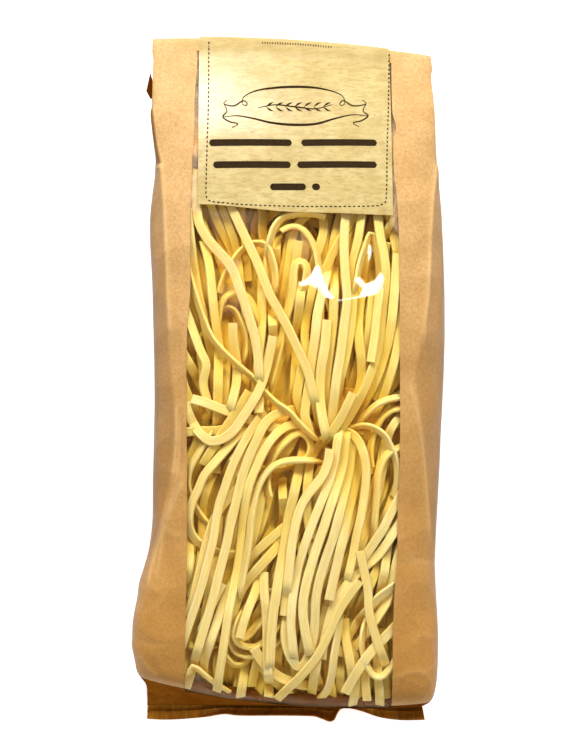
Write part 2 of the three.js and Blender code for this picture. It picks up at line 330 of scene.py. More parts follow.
def inside(outline, x, y):
    """Whether places are inside a closed outline of [x, y]."""
    found = np.zeros(np.shape(x), bool)
    for (ax, ay), (bx, by) in zip(outline, np.roll(outline, -1, axis=0)):
        crosses = (ay > y) != (by > y)
        at = ax + (y - ay) * (bx - ax) / (by - ay if by != ay else 1e-9)
        found ^= crosses & (x < at)
    return found


def patch(pixels, x, y, edge):
    """1 inside an outline in pixels and 0 outside it, softened over so many millimetres."""
    outline = Camera.on_front(pixels)[:, :2]
    closed = np.concatenate([outline, outline[:1]])
    return inside(outline, x, y) * smooth(0, edge, distance_to(closed, x, y))


def ridges(folds, x, y):
    """Height of folds, each (height, width, line in pixels), at places on the front."""
    total = np.zeros(np.shape(x))
    for height, width, pixels in folds:
        line = rounded_line(Camera.on_front(pixels)[:, :2], 2.0)
        away = distance_to(line, x, y)
        ends = np.minimum(*[np.hypot(x - end[0], y - end[1]) for end in line[[0, -1]]])
        total += height * np.exp(-away / width) * smooth(0, 4 * width, ends + width)
    return total


def rumple(x, y, z, size, depth, seed):
    """Soft random undulation, so many millimetres across and high."""
    points = np.stack([x, y, z], -1).reshape(-1, 3) / size + seed
    waves = [noise.noise(Vector(p)) for p in points]
    return depth * np.reshape(waves, np.shape(x))


# ---- Materials ----
def srgb(*levels):
    """Scene-linear colour from sRGB levels of 0 to 255."""
    c = [v / 255 for v in levels]
    return tuple(v / 12.92 if v <= 0.04045 else ((v + 0.055) / 1.055) ** 2.4 for v in c) + (1.0,)


def grey(level):
    """A grey of that level, scene-linear."""
    return (level, level, level, 1)


class Shader:
    """A material's nodes, with short ways to add and join them."""

    def __init__(self, name):
        self.material = bpy.data.materials.new(name)
        self.material.use_nodes = True
        self.nodes = self.material.node_tree.nodes
        self.links = self.material.node_tree.links
        self.nodes.clear()
        self.out = self.nodes.new("ShaderNodeOutputMaterial")
        self.place = self.nodes.new("ShaderNodeTexCoord").outputs["Object"]

    def add(self, kind, inputs=(), **settings):
        """A node with its settings, and its inputs linked where they are another node's outputs."""
        node = self.nodes.new(kind)
        for key, value in settings.items():
            setattr(node, key, value)
        for key, value in dict(inputs).items():
            if isinstance(value, bpy.types.NodeSocket):
                self.links.new(value, node.inputs[key])
            else:
                node.inputs[key].default_value = value
        return node

    def values(self, *names):
        """The values that a mesh carries a point under these names."""
        return [self.add("ShaderNodeAttribute", attribute_name=name).outputs["Fac"] for name in names]

    def noise(self, size, detail=2.0, roughness=0.5, stretch=(1, 1, 1)):
        """A noise between 0 and 1 whose blobs are about so many millimetres across."""
        scaled = self.add("ShaderNodeMapping", {"Vector": self.place, "Scale": stretch}).outputs["Vector"]
        return self.add("ShaderNodeTexNoise", {"Vector": scaled, "Scale": 1 / (size * MM), "Detail": detail,
                                               "Roughness": roughness}).outputs["Fac"]

    def ramp(self, fac, stops):
        """Colours at places along a factor, each stop (place, colour)."""
        node = self.add("ShaderNodeValToRGB", {"Fac": fac})
        elements = node.color_ramp.elements
        while len(elements) < len(stops):
            elements.new(0.5)
        for element, (place, colour) in zip(elements, stops):
            element.position = place
            element.color = colour
        return node.outputs["Color"]

    def mask(self, fac, low, high):
        """A grey that goes from 0 at low to 1 at high, also where low is the greater."""
        return self.ramp(fac, sorted([(low, grey(0)), (high, grey(1))]))

    def blend(self, fac, one, two):
        """Colour one where fac is 0, two where it is 1."""
        return self.add("ShaderNodeMix", {0: fac, 6: one, 7: two}, data_type="RGBA").outputs[2]

    def math(self, kind, one, two):
        return self.add("ShaderNodeMath", {0: one, 1: two}, operation=kind).outputs[0]

    def tint(self, colour, mask, share, *levels):
        """A colour that turns towards another, given as sRGB levels, by a share of a mask."""
        return self.blend(self.math("MULTIPLY", mask, share), colour, srgb(*levels))

    def bump(self, height, depth, under=None):
        """A normal from a 0-to-1 height that stands for so many millimetres, on top of another normal."""
        inputs = {"Height": height, "Distance": depth * MM, "Strength": 1.0}
        if under is not None:
            inputs["Normal"] = under
        return self.add("ShaderNodeBump", inputs).outputs["Normal"]

    def surface(self, **inputs):
        """The finished material: a Principled surface with these inputs."""
        named = {key.replace("_", " "): value for key, value in inputs.items()}
        shader = self.add("ShaderNodeBsdfPrincipled", named)
        self.links.new(shader.outputs["BSDF"], self.out.inputs["Surface"])
        return self.material


FIBRES = (0.5, 4, 0.6, (1, 0.12, 1))  # of paper, as noise() takes them
FIBRE_DEPTH = 0.03


def kraft_material():
    """Unbleached kraft paper: fibres, soft mottling. Painted shade 0 is darker, for its shaded sides, steep
    places and the gusset's fold; painted warm shade 1 is darker and more golden, painted shade towards the
    bottom; worn 1 paler.
    """
    s = Shader("kraft_paper")
    shade, warm, worn = s.values("shade", "warm", "worn")
    fibres = s.noise(*FIBRES)
    mottle = s.noise(9, 3, 0.55)
    colour = s.ramp(mottle, [(0.3, srgb(204, 162, 104)), (0.7, srgb(216, 176, 120))])
    # painted shade: darker and more golden towards the bottom of the bag
    colour = s.blend(warm, colour, s.blend(mottle, srgb(188, 134, 62), srgb(199, 148, 80)))
    colour = s.tint(colour, fibres, 0.2, 160, 110, 48)
    flecks = s.mask(s.noise(1.1, 3, 0.7), 0.4, 0.7)
    colour = s.tint(colour, flecks, 0.42, 154, 102, 42)
    colour = s.tint(colour, worn, 0.4, 226, 188, 128)
    # painted shade: where it is 0 the paper is painted a deep brown
    colour = s.blend(shade, srgb(112, 72, 20), colour)
    facets = s.add("ShaderNodeTexVoronoi", {"Vector": s.place, "Scale": 1 / (17 * MM), "Randomness": 1.0},
                   feature="F1").outputs["Distance"]
    crumple = s.bump(facets, 1.3, under=s.bump(fibres, FIBRE_DEPTH))
    wrinkle = s.bump(s.noise(4, 4, 0.65), 0.2, under=crumple)
    return s.surface(Base_Color=colour, Roughness=0.5, Specular_IOR_Level=0.18, Normal=wrinkle)


def doubled_material():
    """The same paper doubled, dull, at the seam: a brown partly stained by the glue and partly painted shade
    under the bag's overhang.
    """
    s = Shader("kraft_paper_doubled")
    (shade,) = s.values("shade")
    # painted shade: the dark end stands for the paper in the bag's shadow
    colour = s.blend(shade, srgb(102, 54, 7), srgb(206, 130, 36))
    streaks = s.mask(s.noise(5, 4, 0.7, (1, 0.15, 1)), 0.6, 0.4)
    colour = s.tint(colour, streaks, 0.4, 88, 42, 4)
    # painted highlight: pale glossy streaks, strongest where the painted shade is lightest
    painted_gleams = s.mask(s.noise(1.4, 4, 0.7, (1, 0.07, 1)), 0.5, 0.66)
    colour = s.tint(colour, painted_gleams, s.math("MULTIPLY", shade, 0.55), 224, 164, 84)
    wrinkle = s.bump(s.noise(6, 3, 0.6), 0.3, under=s.bump(s.noise(*FIBRES), FIBRE_DEPTH))
    return s.surface(Base_Color=colour, Roughness=0.8, Specular_IOR_Level=0.0, Normal=wrinkle)


def film_material():
    """Clear glossy film: its reflections grow at a glancing angle, and a painted milky veil stands for its
    soft reflections where it creases.

    Tilt 1 leans its facets towards the light, painted haze is how strong the painted veil is, and shine 0
    takes its gleam away.
    """
    s = Shader("clear_film")
    tilt, haze, shine = s.values("tilt", "haze", "shine")
    leans = s.add("ShaderNodeMath", {0: tilt, 1: 4.0}, operation="MULTIPLY", use_clamp=True).outputs[0]
    lean = s.add("ShaderNodeVectorMath", {0: FACET_LEAN, "Scale": leans}, operation="SCALE").outputs[0]
    straight = s.add("ShaderNodeNewGeometry").outputs["Normal"]
    leaning = s.add("ShaderNodeVectorMath", {0: straight, 1: lean}, operation="ADD").outputs[0]
    normal = s.add("ShaderNodeVectorMath", {0: leaning}, operation="NORMALIZE").outputs[0]
    ripple = s.bump(s.noise(7, 4, 0.65), 0.09, under=normal)
    clear = s.add("ShaderNodeBsdfTransparent", {"Color": (0.99, 0.985, 0.975, 1)})
    gloss = s.add("ShaderNodeBsdfAnisotropic", {"Color": grey(1), "Roughness": 0.1, "Normal": ripple})
    facing = s.add("ShaderNodeLayerWeight", {"Blend": 0.5, "Normal": ripple}).outputs["Facing"]
    share = s.math("ADD", s.math("MULTIPLY", s.math("POWER", facing, 5.0), 0.4), 0.015)
    streaks = s.ramp(s.noise(3, 5, 0.7, (1, 0.5, 1)), [(0.36, grey(0.05)), (0.62, grey(1))])
    bright = s.math("MULTIPLY", s.math("MULTIPLY", s.math("POWER", tilt, 1.5), streaks), 0.13)
    share = s.math("MULTIPLY", s.math("ADD", share, bright), shine)
    mix = s.add("ShaderNodeMixShader", {0: share, 1: clear.outputs[0], 2: gloss.outputs[0]})
    # painted reflection: a brownish diffuse veil for the film's soft reflections, and for the brown paper
    # seen through it beside the label and at the bottom
    milk = s.add("ShaderNodeBsdfDiffuse", {"Color": (0.86, 0.58, 0.36, 1)})
    cloud = s.ramp(s.noise(5, 4, 0.6), [(0.3, grey(0.2)), (0.65, grey(1))])
    veil = s.math("MULTIPLY", haze, cloud)
    hazy = s.add("ShaderNodeMixShader", {0: veil, 1: mix.outputs[0], 2: milk.outputs[0]})
    s.links.new(hazy.outputs[0], s.out.inputs["Surface"])
    return s.material


def label_material():
    """Cream parchment-look paper with fibres along it, under a soft gloss that is less where it bends, and
    painted shade that darkens it there.
    """
    s = Shader("label_paper")
    (bend,) = s.values("bend")
    colour = s.ramp(s.noise(11, 4, 0.6), [(0.32, srgb(184, 160, 97)), (0.68, srgb(203, 183, 125))])
    grain = s.mask(s.noise(1.3, 5, 0.75, (0.3, 1, 1)), 0.42, 0.66)
    colour = s.tint(colour, grain, 0.6, 160, 131, 70)
    specks = s.mask(s.noise(1.1, 2, 0.5, (0.6, 1, 1)), 0.66, 0.74)
    colour = s.tint(colour, specks, 0.5, 122, 92, 40)
    # painted shade: darker towards the fold
    colour = s.tint(colour, bend, 0.3, 146, 116, 58)
    relief = s.bump(s.noise(2.5, 4, 0.6), 0.05)
    roughness = s.math("ADD", s.math("MULTIPLY", bend, 0.5), 0.22)
    return s.surface(Base_Color=colour, Roughness=roughness, Specular_IOR_Level=0.6, Normal=relief)


def ink_material():
    """Matt brown ink, slightly uneven."""
    s = Shader("brown_ink")
    colour = s.ramp(s.noise(0.6, 2), [(0.3, srgb(40, 28, 15)), (0.7, srgb(58, 42, 25))])
    return s.surface(Base_Color=colour, Roughness=0.9, Specular_IOR_Level=0.05)


def pasta_material():
    """Dry egg dough: pale yellow, with painted shade that makes it darker and golden deep in the heap, with
    drawn lines, a little translucent.

    Tone 1 is the palest; lower tones carry painted shade. The lines follow how far across and along its
    ribbon a place is, and own tells the ribbons apart.
    """
    s = Shader("pasta")
    tone, across, along, own = s.values("tone", "across", "along", "own")
    # painted shade: the darker, golden end of the ramp stands for ribbons in shadow deep in the heap
    colour = s.ramp(tone, [(0.0, srgb(234, 168, 8)), (0.4, srgb(241, 197, 56)),
                           (0.7, srgb(243, 212, 109)), (1.0, srgb(249, 225, 157))])
    drawn = s.add("ShaderNodeCombineXYZ", {
        "X": across, "Y": s.math("MULTIPLY", along, 0.05), "Z": s.math("MULTIPLY", own, 40.0)})
    lines = s.add("ShaderNodeTexNoise", {
        "Vector": drawn.outputs["Vector"], "Scale": 1.7, "Detail": 4.0, "Roughness": 0.6}).outputs["Fac"]
    colour = s.tint(colour, s.mask(lines, 0.58, 0.4), 0.3, 228, 176, 52)
    colour = s.tint(colour, s.noise(0.8, 3, 0.6), 0.1, 254, 240, 176)
    uneven = s.bump(s.noise(3.5, 2, 0.5), 0.12)
    relief = s.bump(s.noise(0.5, 3, 0.6), 0.03, under=s.bump(lines, 0.12, under=uneven))
    return s.surface(Base_Color=colour, Roughness=0.6, Specular_IOR_Level=0.2, Normal=relief,
                     Subsurface_Weight=0.45, Subsurface_Radius=(1.0, 0.62, 0.1), Subsurface_Scale=2.2 * MM)


# ---- The heap ----
SEED = 7
TOP_WIDTHS, FILL_WIDTHS = (3.3, 3.75), (3.1, 3.7)
RIBBON_THICK = 1.2
BEVEL = 0.22
FILM_DEPTH = 0.4  # of the film below the bag's outer surface
HEAP_INSET = FILM_DEPTH + 0.45  # and of the ribbons
CELL = 0.5  # size of a cell of the map of heights
GAP = -0.1  # a slight overlap, so that ribbons lie on each other
STEP = 0.4  # between points along a ribbon
SHORTEST = 12  # points that a ribbon has at least
TOP_REACH, FILL_REACH = 18, 9  # points to each side over which a ribbon's depth is evened out
TOP_SINK, FILL_SINK = (0, 0.4), (0, 0.7)  # how far below what is above it a ribbon lies
TOP_ROLL, FILL_ROLL = 4, 5  # degrees by which a ribbon's roll sways along it
ROLL_WAVE = 22  # of a ribbon's length to a radian of that sway
CARRIED_ON = (12, 24)  # how far a hidden end runs on below the others
HELD_POINTS = 10  # points past its end over which a carried-on ribbon keeps its height
LOOK_BACK = 20  # points before its end over which its turn is measured
KEPT_TURN, MOST_TURN = 0.6, 0.02  # share of it that is kept, and the most in radians a step
OWN_TONE = 0.16  # a ribbon's own share in its tone
# painted shade: a ribbon this deep is painted in full shade
DARK_DEPTH = 15  # a ribbon this far below the film has lost all the rest
CORE_ENDS = (-121, 122)
CORE_INSET = HEAP_INSET + 1.2
CORE_GAP, CORE_SPAN = 0.3, 9  # the core lies this far below the lowest in a square of so many cells

# Ribbons that show, from the topmost down: roll in degrees (0 is flat), which ends show, line in pixels.
TOP_RIBBONS = [
    (10, "both", "360,581 350,594 338,613 326,640 316,658 303,674 288,689 270,701 250,706"),
    (15, "first", "360,551 364,570 368,590 369,610 373,628 378,643"),
    (5, "last", "395,627 385,638 374,649 363,663 354,677 345,693"),
    (25, "", "196,203 199,222 207,238 218,251 228,262 235,275 240,290 245,304 250,320 255,338 258,356 "
     "259,372"),
    (5, "first", "273,336 270,352 266,370 260,388 252,403 243,417 233,431 222,439 210,441 204,437"),
    (62, "", "188,268 195,294 203,318 212,338 225,353 240,367 252,377 262,389 275,402 288,411 300,424 "
     "308,432"),
    (20, "", "232,208 240,226 249,245 257,262 264,280 271,297 280,313 288,328 296,345 302,358 308,372 "
     "313,392"),
    (15, "first", "249,391 242,403 234,415 226,427 219,438"),
    (10, "first", "192,399 203,402 216,407 232,413"),
    (10, "", "186,432 200,431 214,431 228,429"),
    (28, "first", "233,323 233,338 235,352 237,368 236,385 232,402"),
    (15, "first", "327,320 325,345 321,370 320,395 322,415 325,430"),
    (5, "", "324,285 320,302 317,318 315,338 312,358 310,378 307,398 305,415 309,430"),
    (20, "first", "353,393 347,406 340,420 331,433"),
    (20, "last", "379,298 377,315 375,335 371,362"),
    (15, "", "346,210 344,240 345,270 347,300 344,325 341,350 337,375 334,400 331,427"),
    (22, "", "377,210 380,235 384,255 386,275 384,300 381,330 376,358 367,383 358,402 347,421 338,434"),
    (55, "", "357,280 360,264 365,248 371,233 375,242 379,262 381,280"),
    (60, "first", "281,231 288,227 296,226 304,230 311,239 316,251 319,266 323,282"),
    (50, "", "306,279 307,268 303,262 297,262 294,270 293,285 291,300 286,318 282,335 278,355 272,378"),
    (25, "first", "203,241 207,255 210,272 212,292 214,312 217,335 220,352"),
    (60, "", "304,460 293,460 282,462 272,467 264,476 258,488 254,503 251,520 249,540 246,560 241,585"),
    (15, "last", "303,425 292,425 281,430 271,440 263,453 257,466 251,480 247,495 244,512 242,530 "
     "240,550 237,570 233,590 229,610 226,630 223,650 220,670 217,690"),
    (10, "", "284,412 273,416 264,425 258,437 251,452 245,468 240,485 236,502 231,522 227,542 222,562 "
     "217,582 212,602 206,622 200,642"),
    (15, "", "258,420 250,432 242,446 235,460 229,475 224,490 219,505 216,520 213,540 208,560 203,580 "
     "197,600 191,618 185,636"),
    (10, "first", "241,484 233,494 224,504 216,516 210,530 205,547 201,565 196,585"),
    (35, "", "236,438 224,452 212,466 204,476 198,490 192,503 189,517 190,530 196,541 204,547"),
    (60, "", "206,439 199,452 192,464 188,477 188,488 191,498"),
    (62, "", "284,443 291,437 300,433 308,438 311,447 309,456 303,461"),
    (20, "", "308,480 310,465 314,453 321,443 330,436 340,432 350,433 358,440 363,451 366,465 366,482 "
     "364,500 361,518 357,535 354,552 350,570"),
    (10, "first", "330,449 328,462 323,475 314,487 305,499 299,512 295,528 292,545 290,562 288,580"),
    (15, "", "301,461 297,480 293,498 289,515 286,535 283,555 279,575 276,595 273,615 271,640 270,660"),
    (15, "", "338,440 334,465 328,485 320,505 312,525 305,545 299,565 295,585 292,605 291,625 293,648"),
    (15, "", "346,440 343,465 337,487 330,508 323,530 316,550 310,570 305,590 303,610 305,630 308,645"),
    (10, "", "353,443 350,468 345,492 339,515 333,538 326,558 320,578 316,598 315,618 313,640 309,655 "
     "303,666 297,667 292,660"),
    (15, "last", "359,448 358,470 354,492 348,515 343,538 338,560 333,582 329,600"),
    (60, "", "346,433 355,428 366,426 376,429 385,436 391,447"),
    (58, "", "399,448 389,453 382,463 378,478 377,495 375,518"),
    (60, "", "402,397 390,399 378,404 367,414 358,424 352,433"),
    (60, "", "402,408 392,410 383,417 377,428"),
    (15, "", "399,498 391,513 383,529 373,545 364,558"),
    (15, "", "398,526 388,542 378,556 366,567 353,579 342,592 334,606 329,622"),
    (15, "", "279,532 265,544 254,555 245,568"),
    (20, "", "281,543 270,556 258,569 247,582 239,596 234,610"),
    (15, "first", "264,573 264,590 266,610 267,630 267,650 268,672"),
    (5, "last", "259,580 254,595 248,610 243,625 240,638"),
    (12, "first", "254,649 261,661 270,671 281,679 294,684"),
    (40, "", "262,670 272,682 284,691 296,700 308,704 320,700 328,690 332,674 334,657 337,640 339,625"),
    (65, "", "236,627 234,636 238,644 246,648 256,648 264,643"),
    (60, "", "231,645 235,653 244,657 254,657 262,654"),
    (60, "", "227,660 233,666 241,667 249,662"),
    (55, "", "262,622 255,629 248,637 240,641"),
    (20, "first", "345,620 346,638 349,655 352,674"),
    (60, "", "369,669 374,676 382,677 389,670"),
    (30, "", "388,591 379,598 370,608"),
    (30, "", "396,565 392,583 389,600 382,612 374,624"),
    (25, "last", "246,660 243,680 240,699"),
    (25, "last", "257,662 254,675 251,688"),
    (25, "last", "262,680 258,695 252,706"),
    (15, "last", "316,668 313,688 309,706"),
    (20, "last", "355,660 357,680 352,704"),
    (20, "last", "366,665 366,685 367,700"),
    (20, "last", "379,680 378,706"),
    (20, "last", "331,688 333,706"),
    (25, "last", "341,678 339,704"),
    (20, "last", "291,688 290,705"),
    (20, "last", "323,688 322,705"),
    (15, "last", "347,684 345,704"),
    (25, "last", "360,682 361,702"),
    (20, "last", "386,678 387,699"),
    (60, "both", "189,674 192,667 198,670 206,677 216,685 228,692 240,697"),
    (20, "", "340,240 332,255 325,272 322,292"),
    (20, "", "362,214 358,240 352,265 350,285"),
    (20, "", "191,243 194,268 198,292 203,316"),
    (65, "", "256,313 250,300 240,292 229,294 221,303 218,319"),
    (65, "", "241,323 235,311 227,307 219,312"),
    (60, "", "273,262 268,248 260,243 250,244 240,251 232,262"),
    (60, "", "270,240 275,226 284,217 295,214"),
    (15, "", "334,300 333,325 330,350 327,375 326,400 328,422"),
    (15, "", "353,300 351,325 347,350 342,372 337,393 334,412 331,427"),
    (25, "", "361,300 359,325 360,345 362,362 362,380 358,395 351,410 345,424"),
    (15, "", "394,300 392,320 388,345 381,368 372,390 362,408 352,424"),
    (20, "", "401,325 397,350 391,375 384,397 376,416"),
    (20, "first", "302,367 299,382 297,397 301,410 308,424"),
    (15, "", "290,300 287,320 283,345 277,368 270,392"),
    (20, "", "300,300 297,322 290,345 283,365 279,386"),
    (20, "", "310,300 306,320 305,340 309,358 313,376"),
    (20, "", "262,300 262,325 260,345 258,362"),
    (15, "", "215,320 218,345 218,380 217,416"),
    (15, "", "225,335 226,360 224,395 220,422"),
    (20, "", "192,328 200,350 206,365 203,384 208,403"),
    (15, "last", "229,592 222,609 216,626 209,646 204,662 203,675"),
]
FILL_COUNT = 380
FILL_REGION = ((-43, 46), (-126, 84))
FILL_TRIES = 14  # places looked at for each one's start
FILL_LENGTHS = (24, 80)  # to each side of its start
FILL_STEP = 2
FILL_TURN = 0.12  # most radians a step
ROLL_SPREAD = 16  # degrees
LEAN_SPREAD, BEND_SPREAD = 0.15, 0.006  # from the lie of the others in radians, and radians a step
GUIDE_REACH = 6.0  # how near the ribbons are that it follows
GROUP = 110  # filling ribbons a piece
DEEPEST = 12  # no ribbon lies further below the film
LOWEST_LID = 34  # ribbons end where the film comes lower than this, at the bottom of the pack
EDGE_CLEAR = 0.3  # and this far from the front's lower edge
EDGE_HEIGHT = 42.0  # of that edge above the table
# Places where only deep ribbons lie: depth, outline in pixels.
HOLLOWS = [
    (13.5, "184,678 196,676 212,686 232,697 232,708 184,708"),
    (4.5, "198,205 350,205 335,240 290,262 262,300 235,300 212,265"),
    (3.0, "186,500 204,500 207,545 186,548"),
]


def front_end(settled_x):
    """The settled y of the front's lower edge at a settled x."""
    x, _ = unsettle(settled_x, np.full(np.shape(settled_x), CORNER_Y + 6.0), EDGE_HEIGHT)
    return settle(x, np.full(np.shape(x), float(CORNER_Y)), EDGE_HEIGHT)[1]


class Heap:
    """Lays ribbons under the film, the topmost first, each as high as those above it allow."""

    x0, x1, y0, y1 = -62.0, 64.0, -132.0, 128.0  # of its maps

    def __init__(self):
        self.draw = random.Random(SEED)
        xs = np.arange(self.x0, self.x1, CELL) + CELL / 2
        ys = np.arange(self.y0, self.y1, CELL) + CELL / 2
        self.lid = front_at(xs[None, :], ys[:, None], HEAP_INSET)
        self.ceiling = self.lid.copy()
        self.hollow = np.zeros(self.lid.shape)
        at_x, at_y = np.meshgrid(xs, ys)
        for depth, pixels in HOLLOWS:
            outline = Camera.on_front(pixels, HEAP_INSET)[:, :2]
            self.hollow[inside(outline, at_x, at_y)] = depth
        self.strands = []

    def cells(self, places):
        """Row and column of places in the maps."""
        i = np.clip(((places[..., 1] - self.y0) / CELL).astype(int), 0, self.ceiling.shape[0] - 1)
        j = np.clip(((places[..., 0] - self.x0) / CELL).astype(int), 0, self.ceiling.shape[1] - 1)
        return i, j

    def footprint(self, line, roll, width):
        """The places that a ribbon covers, and half its height at each point."""
        heading = unit(np.gradient(line, axis=0))
        side = np.stack([heading[:, 1], -heading[:, 0]], 1)
        wide, thick = np.abs(np.cos(np.radians(roll))), np.abs(np.sin(np.radians(roll)))
        half_wide = width / 2 * wide + RIBBON_THICK / 2 * thick
        half_high = width / 2 * thick + RIBBON_THICK / 2 * wide
        across = np.linspace(-1, 1, 11)
        foot = line[:, None, :] + side[:, None, :] * (half_wide[:, None] * across)[:, :, None]
        return foot, half_high

    def settle_z(self, line, roll, width, sink, reach, held=None):
        """Height along a ribbon, evened out below all that lies above it; later ribbons go below it."""
        foot, half_high = self.footprint(line, roll, width)
        room = self.ceiling[self.cells(foot[:, 2:-2])].min(1) - half_high - sink
        lid = self.lid[self.cells(line)]
        depth = np.clip(lid - room, 0, DEEPEST)
        if held is not None:
            depth[:HELD_POINTS] = lid[0] - held
        z = running(lid, np.mean, 4) - running(running(depth, np.max, reach // 2), np.mean, reach)
        i, j = self.cells(foot)
        under = np.broadcast_to((z - half_high - GAP)[:, None], i.shape)
        np.minimum.at(self.ceiling, (i, j), under)
        return z

    def lay(self, line, roll, width, sink, reach, shows=""):
        """Lays one ribbon along a line of [x, y], with its roll in degrees at each point."""
        held = self.under_film(line, roll, width)
        if held.sum() < SHORTEST:
            return
        first, last = np.flatnonzero(held)[[0, -1]]
        line, roll = line[first:last + 1], roll[first:last + 1]
        z = self.settle_z(line, roll, width, sink, reach)
        self.strands.append(SimpleNamespace(line=line, roll=roll, z=z, width=width, shows=shows,
                                            tone=self.draw.random()))

    def under_film(self, line, roll, width):
        """Whether a ribbon is far enough inside the pack's lower end at each point."""
        foot = self.footprint(line, roll, width)[0]
        high = self.lid[self.cells(foot)] > LOWEST_LID
        above = foot[:, :, 1] > front_end(foot[:, :, 0]) + EDGE_CLEAR
        return (high & above).all(1) | (line[:, 1] > 0)

    def extend(self, strand, end):
        """Carries a ribbon on past its first or last point, diving below the ribbons that lie there."""
        way = -1 if end == "first" else 1
        line, roll, z = strand.line[::way], strand.roll[::way], strand.z[::way]
        back = min(LOOK_BACK, len(line) - 4)
        angles = [math.atan2(*(line[k] - line[k - 3])[::-1]) for k in (-1, -back)]
        turn = (angles[0] - angles[1] + math.pi) % (2 * math.pi) - math.pi
        turn = max(-MOST_TURN, min(MOST_TURN, KEPT_TURN * turn / back))
        count = int(self.draw.uniform(*CARRIED_ON) / STEP)
        heading = angles[0] + turn * np.arange(1, count + 1)
        more = line[-1] + np.cumsum(STEP * np.stack([np.cos(heading), np.sin(heading)], 1), axis=0)
        more_roll = np.full(len(more), roll[-1])
        allowed = np.cumprod(self.under_film(more, more_roll, strand.width)).astype(bool)
        more, more_roll = more[allowed], more_roll[allowed]
        if len(more) < HELD_POINTS + 4:
            return
        more_z = self.settle_z(more, more_roll, strand.width, 0.2, FILL_REACH, held=z[-1])
        blend = smooth(0, HELD_POINTS + 6, np.arange(len(more)))
        more_z = np.minimum(z[-1], z[-1] * (1 - blend) + more_z * blend)
        strand.line = np.concatenate([line, more])[::way]
        strand.roll = np.concatenate([roll, more_roll])[::way]
        strand.z = np.concatenate([z, more_z])[::way]

    def wobble(self, count, size):
        """A slow random wave along a ribbon's roll."""
        at = np.linspace(0, count * STEP / ROLL_WAVE, count)
        phase = [self.draw.uniform(0, 2 * math.pi) for _ in range(2)]
        return size * (np.sin(at + phase[0]) + 0.5 * np.sin(2.1 * at + phase[1]))

    def lay_top(self):
        """Lays the ribbons that show, and carries on those of their ends that don't."""
        for roll, shows, pixels in TOP_RIBBONS:
            line = rounded_line(Camera.on_front(pixels, HEAP_INSET + 1)[:, :2], STEP)
            sign = self.draw.choice((-1, 1))
            rolls = sign * (roll + self.wobble(len(line), TOP_ROLL))
            width, sink = self.draw.uniform(*TOP_WIDTHS), self.draw.uniform(*TOP_SINK)
            self.lay(line, rolls, width, sink, TOP_REACH, shows)
        for strand in list(self.strands):
            for end in ("first", "last"):
                if strand.shows not in (end, "both"):
                    self.extend(strand, end)

    def depth_shade_and_tone(self, points, own):
        """Tone of places on a ribbon: painted shade that leaves it pale at the film and darker, golden below;
        painted light that makes it paler towards the pack's lower end; and a share of the ribbon's own tone.
        """
        depth = self.lid[self.cells(points)] - points[:, 2]
        # painted light: paler towards the pack's lower end
        near_end = 0.14 * smooth(-20, -100, points[:, 1])
        return np.clip(0.82 + near_end - depth / DARK_DEPTH, 0, 1 - OWN_TONE) + OWN_TONE * own

    def lay_fill(self):
        """Fills in with ribbons that follow the lie of those above, each from where the least lies."""
        self.ceiling = np.minimum(self.ceiling, self.lid - self.hollow)
        guide = []
        for strand in self.strands:
            guide.append(np.column_stack([strand.line, np.gradient(strand.line, axis=0)])[::10])
        guide = np.concatenate(guide)
        double = 2 * np.arctan2(guide[:, 3], guide[:, 2])
        for _ in range(FILL_COUNT):
            tries = np.array([[self.draw.uniform(*span) for span in FILL_REGION] for _ in range(FILL_TRIES)])
            depth = (self.lid - self.ceiling)[self.cells(tries)]
            start = tries[int(np.argmin(depth))]
            tilt = self.draw.gauss(0, LEAN_SPREAD)
            ahead, behind = [self.streamline(start, guide, double, tilt, way) for way in (1, -1)]
            line = np.concatenate([behind[::-1], ahead[1:]])
            if len(line) < 8:
                continue
            line = rounded_line(line, STEP)
            rolls = self.draw.gauss(0, ROLL_SPREAD) + self.wobble(len(line), FILL_ROLL)
            width, sink = self.draw.uniform(*FILL_WIDTHS), self.draw.uniform(*FILL_SINK)
            self.lay(line, rolls, width, sink, FILL_REACH)

    def streamline(self, start, guide, double, tilt, way):
        """A line from start that follows the guide's headings one way, until it leaves the window or ends."""
        length = self.draw.uniform(*FILL_LENGTHS)
        (west, east), (south, north) = FILL_REGION
        place, found = start.copy(), [start.copy()]
        angle = None
        bend = self.draw.gauss(0, BEND_SPREAD)
        for _ in range(int(length / FILL_STEP)):
            away = (guide[:, 0] - place[0]) ** 2 + (guide[:, 1] - place[1]) ** 2
            near = np.exp(-away / (2 * GUIDE_REACH ** 2))
            toward = 0.5 * math.atan2((near * np.sin(double)).sum(), (near * np.cos(double)).sum()) + tilt
            if angle is None:
                angle = toward if way > 0 else toward + math.pi
            else:
                toward += math.pi * round((angle - toward) / math.pi)
                angle += max(-FILL_TURN, min(FILL_TURN, toward - angle)) + bend
            place = place + FILL_STEP * np.array([math.cos(angle), math.sin(angle)])
            if not (west < place[0] < east and south < place[1] < north):
                break
            found.append(place.copy())
        return np.array(found)


def running(values, combine, reach):
    """The greatest or the mean of each value and its neighbours along a ribbon."""
    padded = np.pad(values, reach, mode="edge")
    return combine(sliding_window_view(padded, 2 * reach + 1), axis=1)


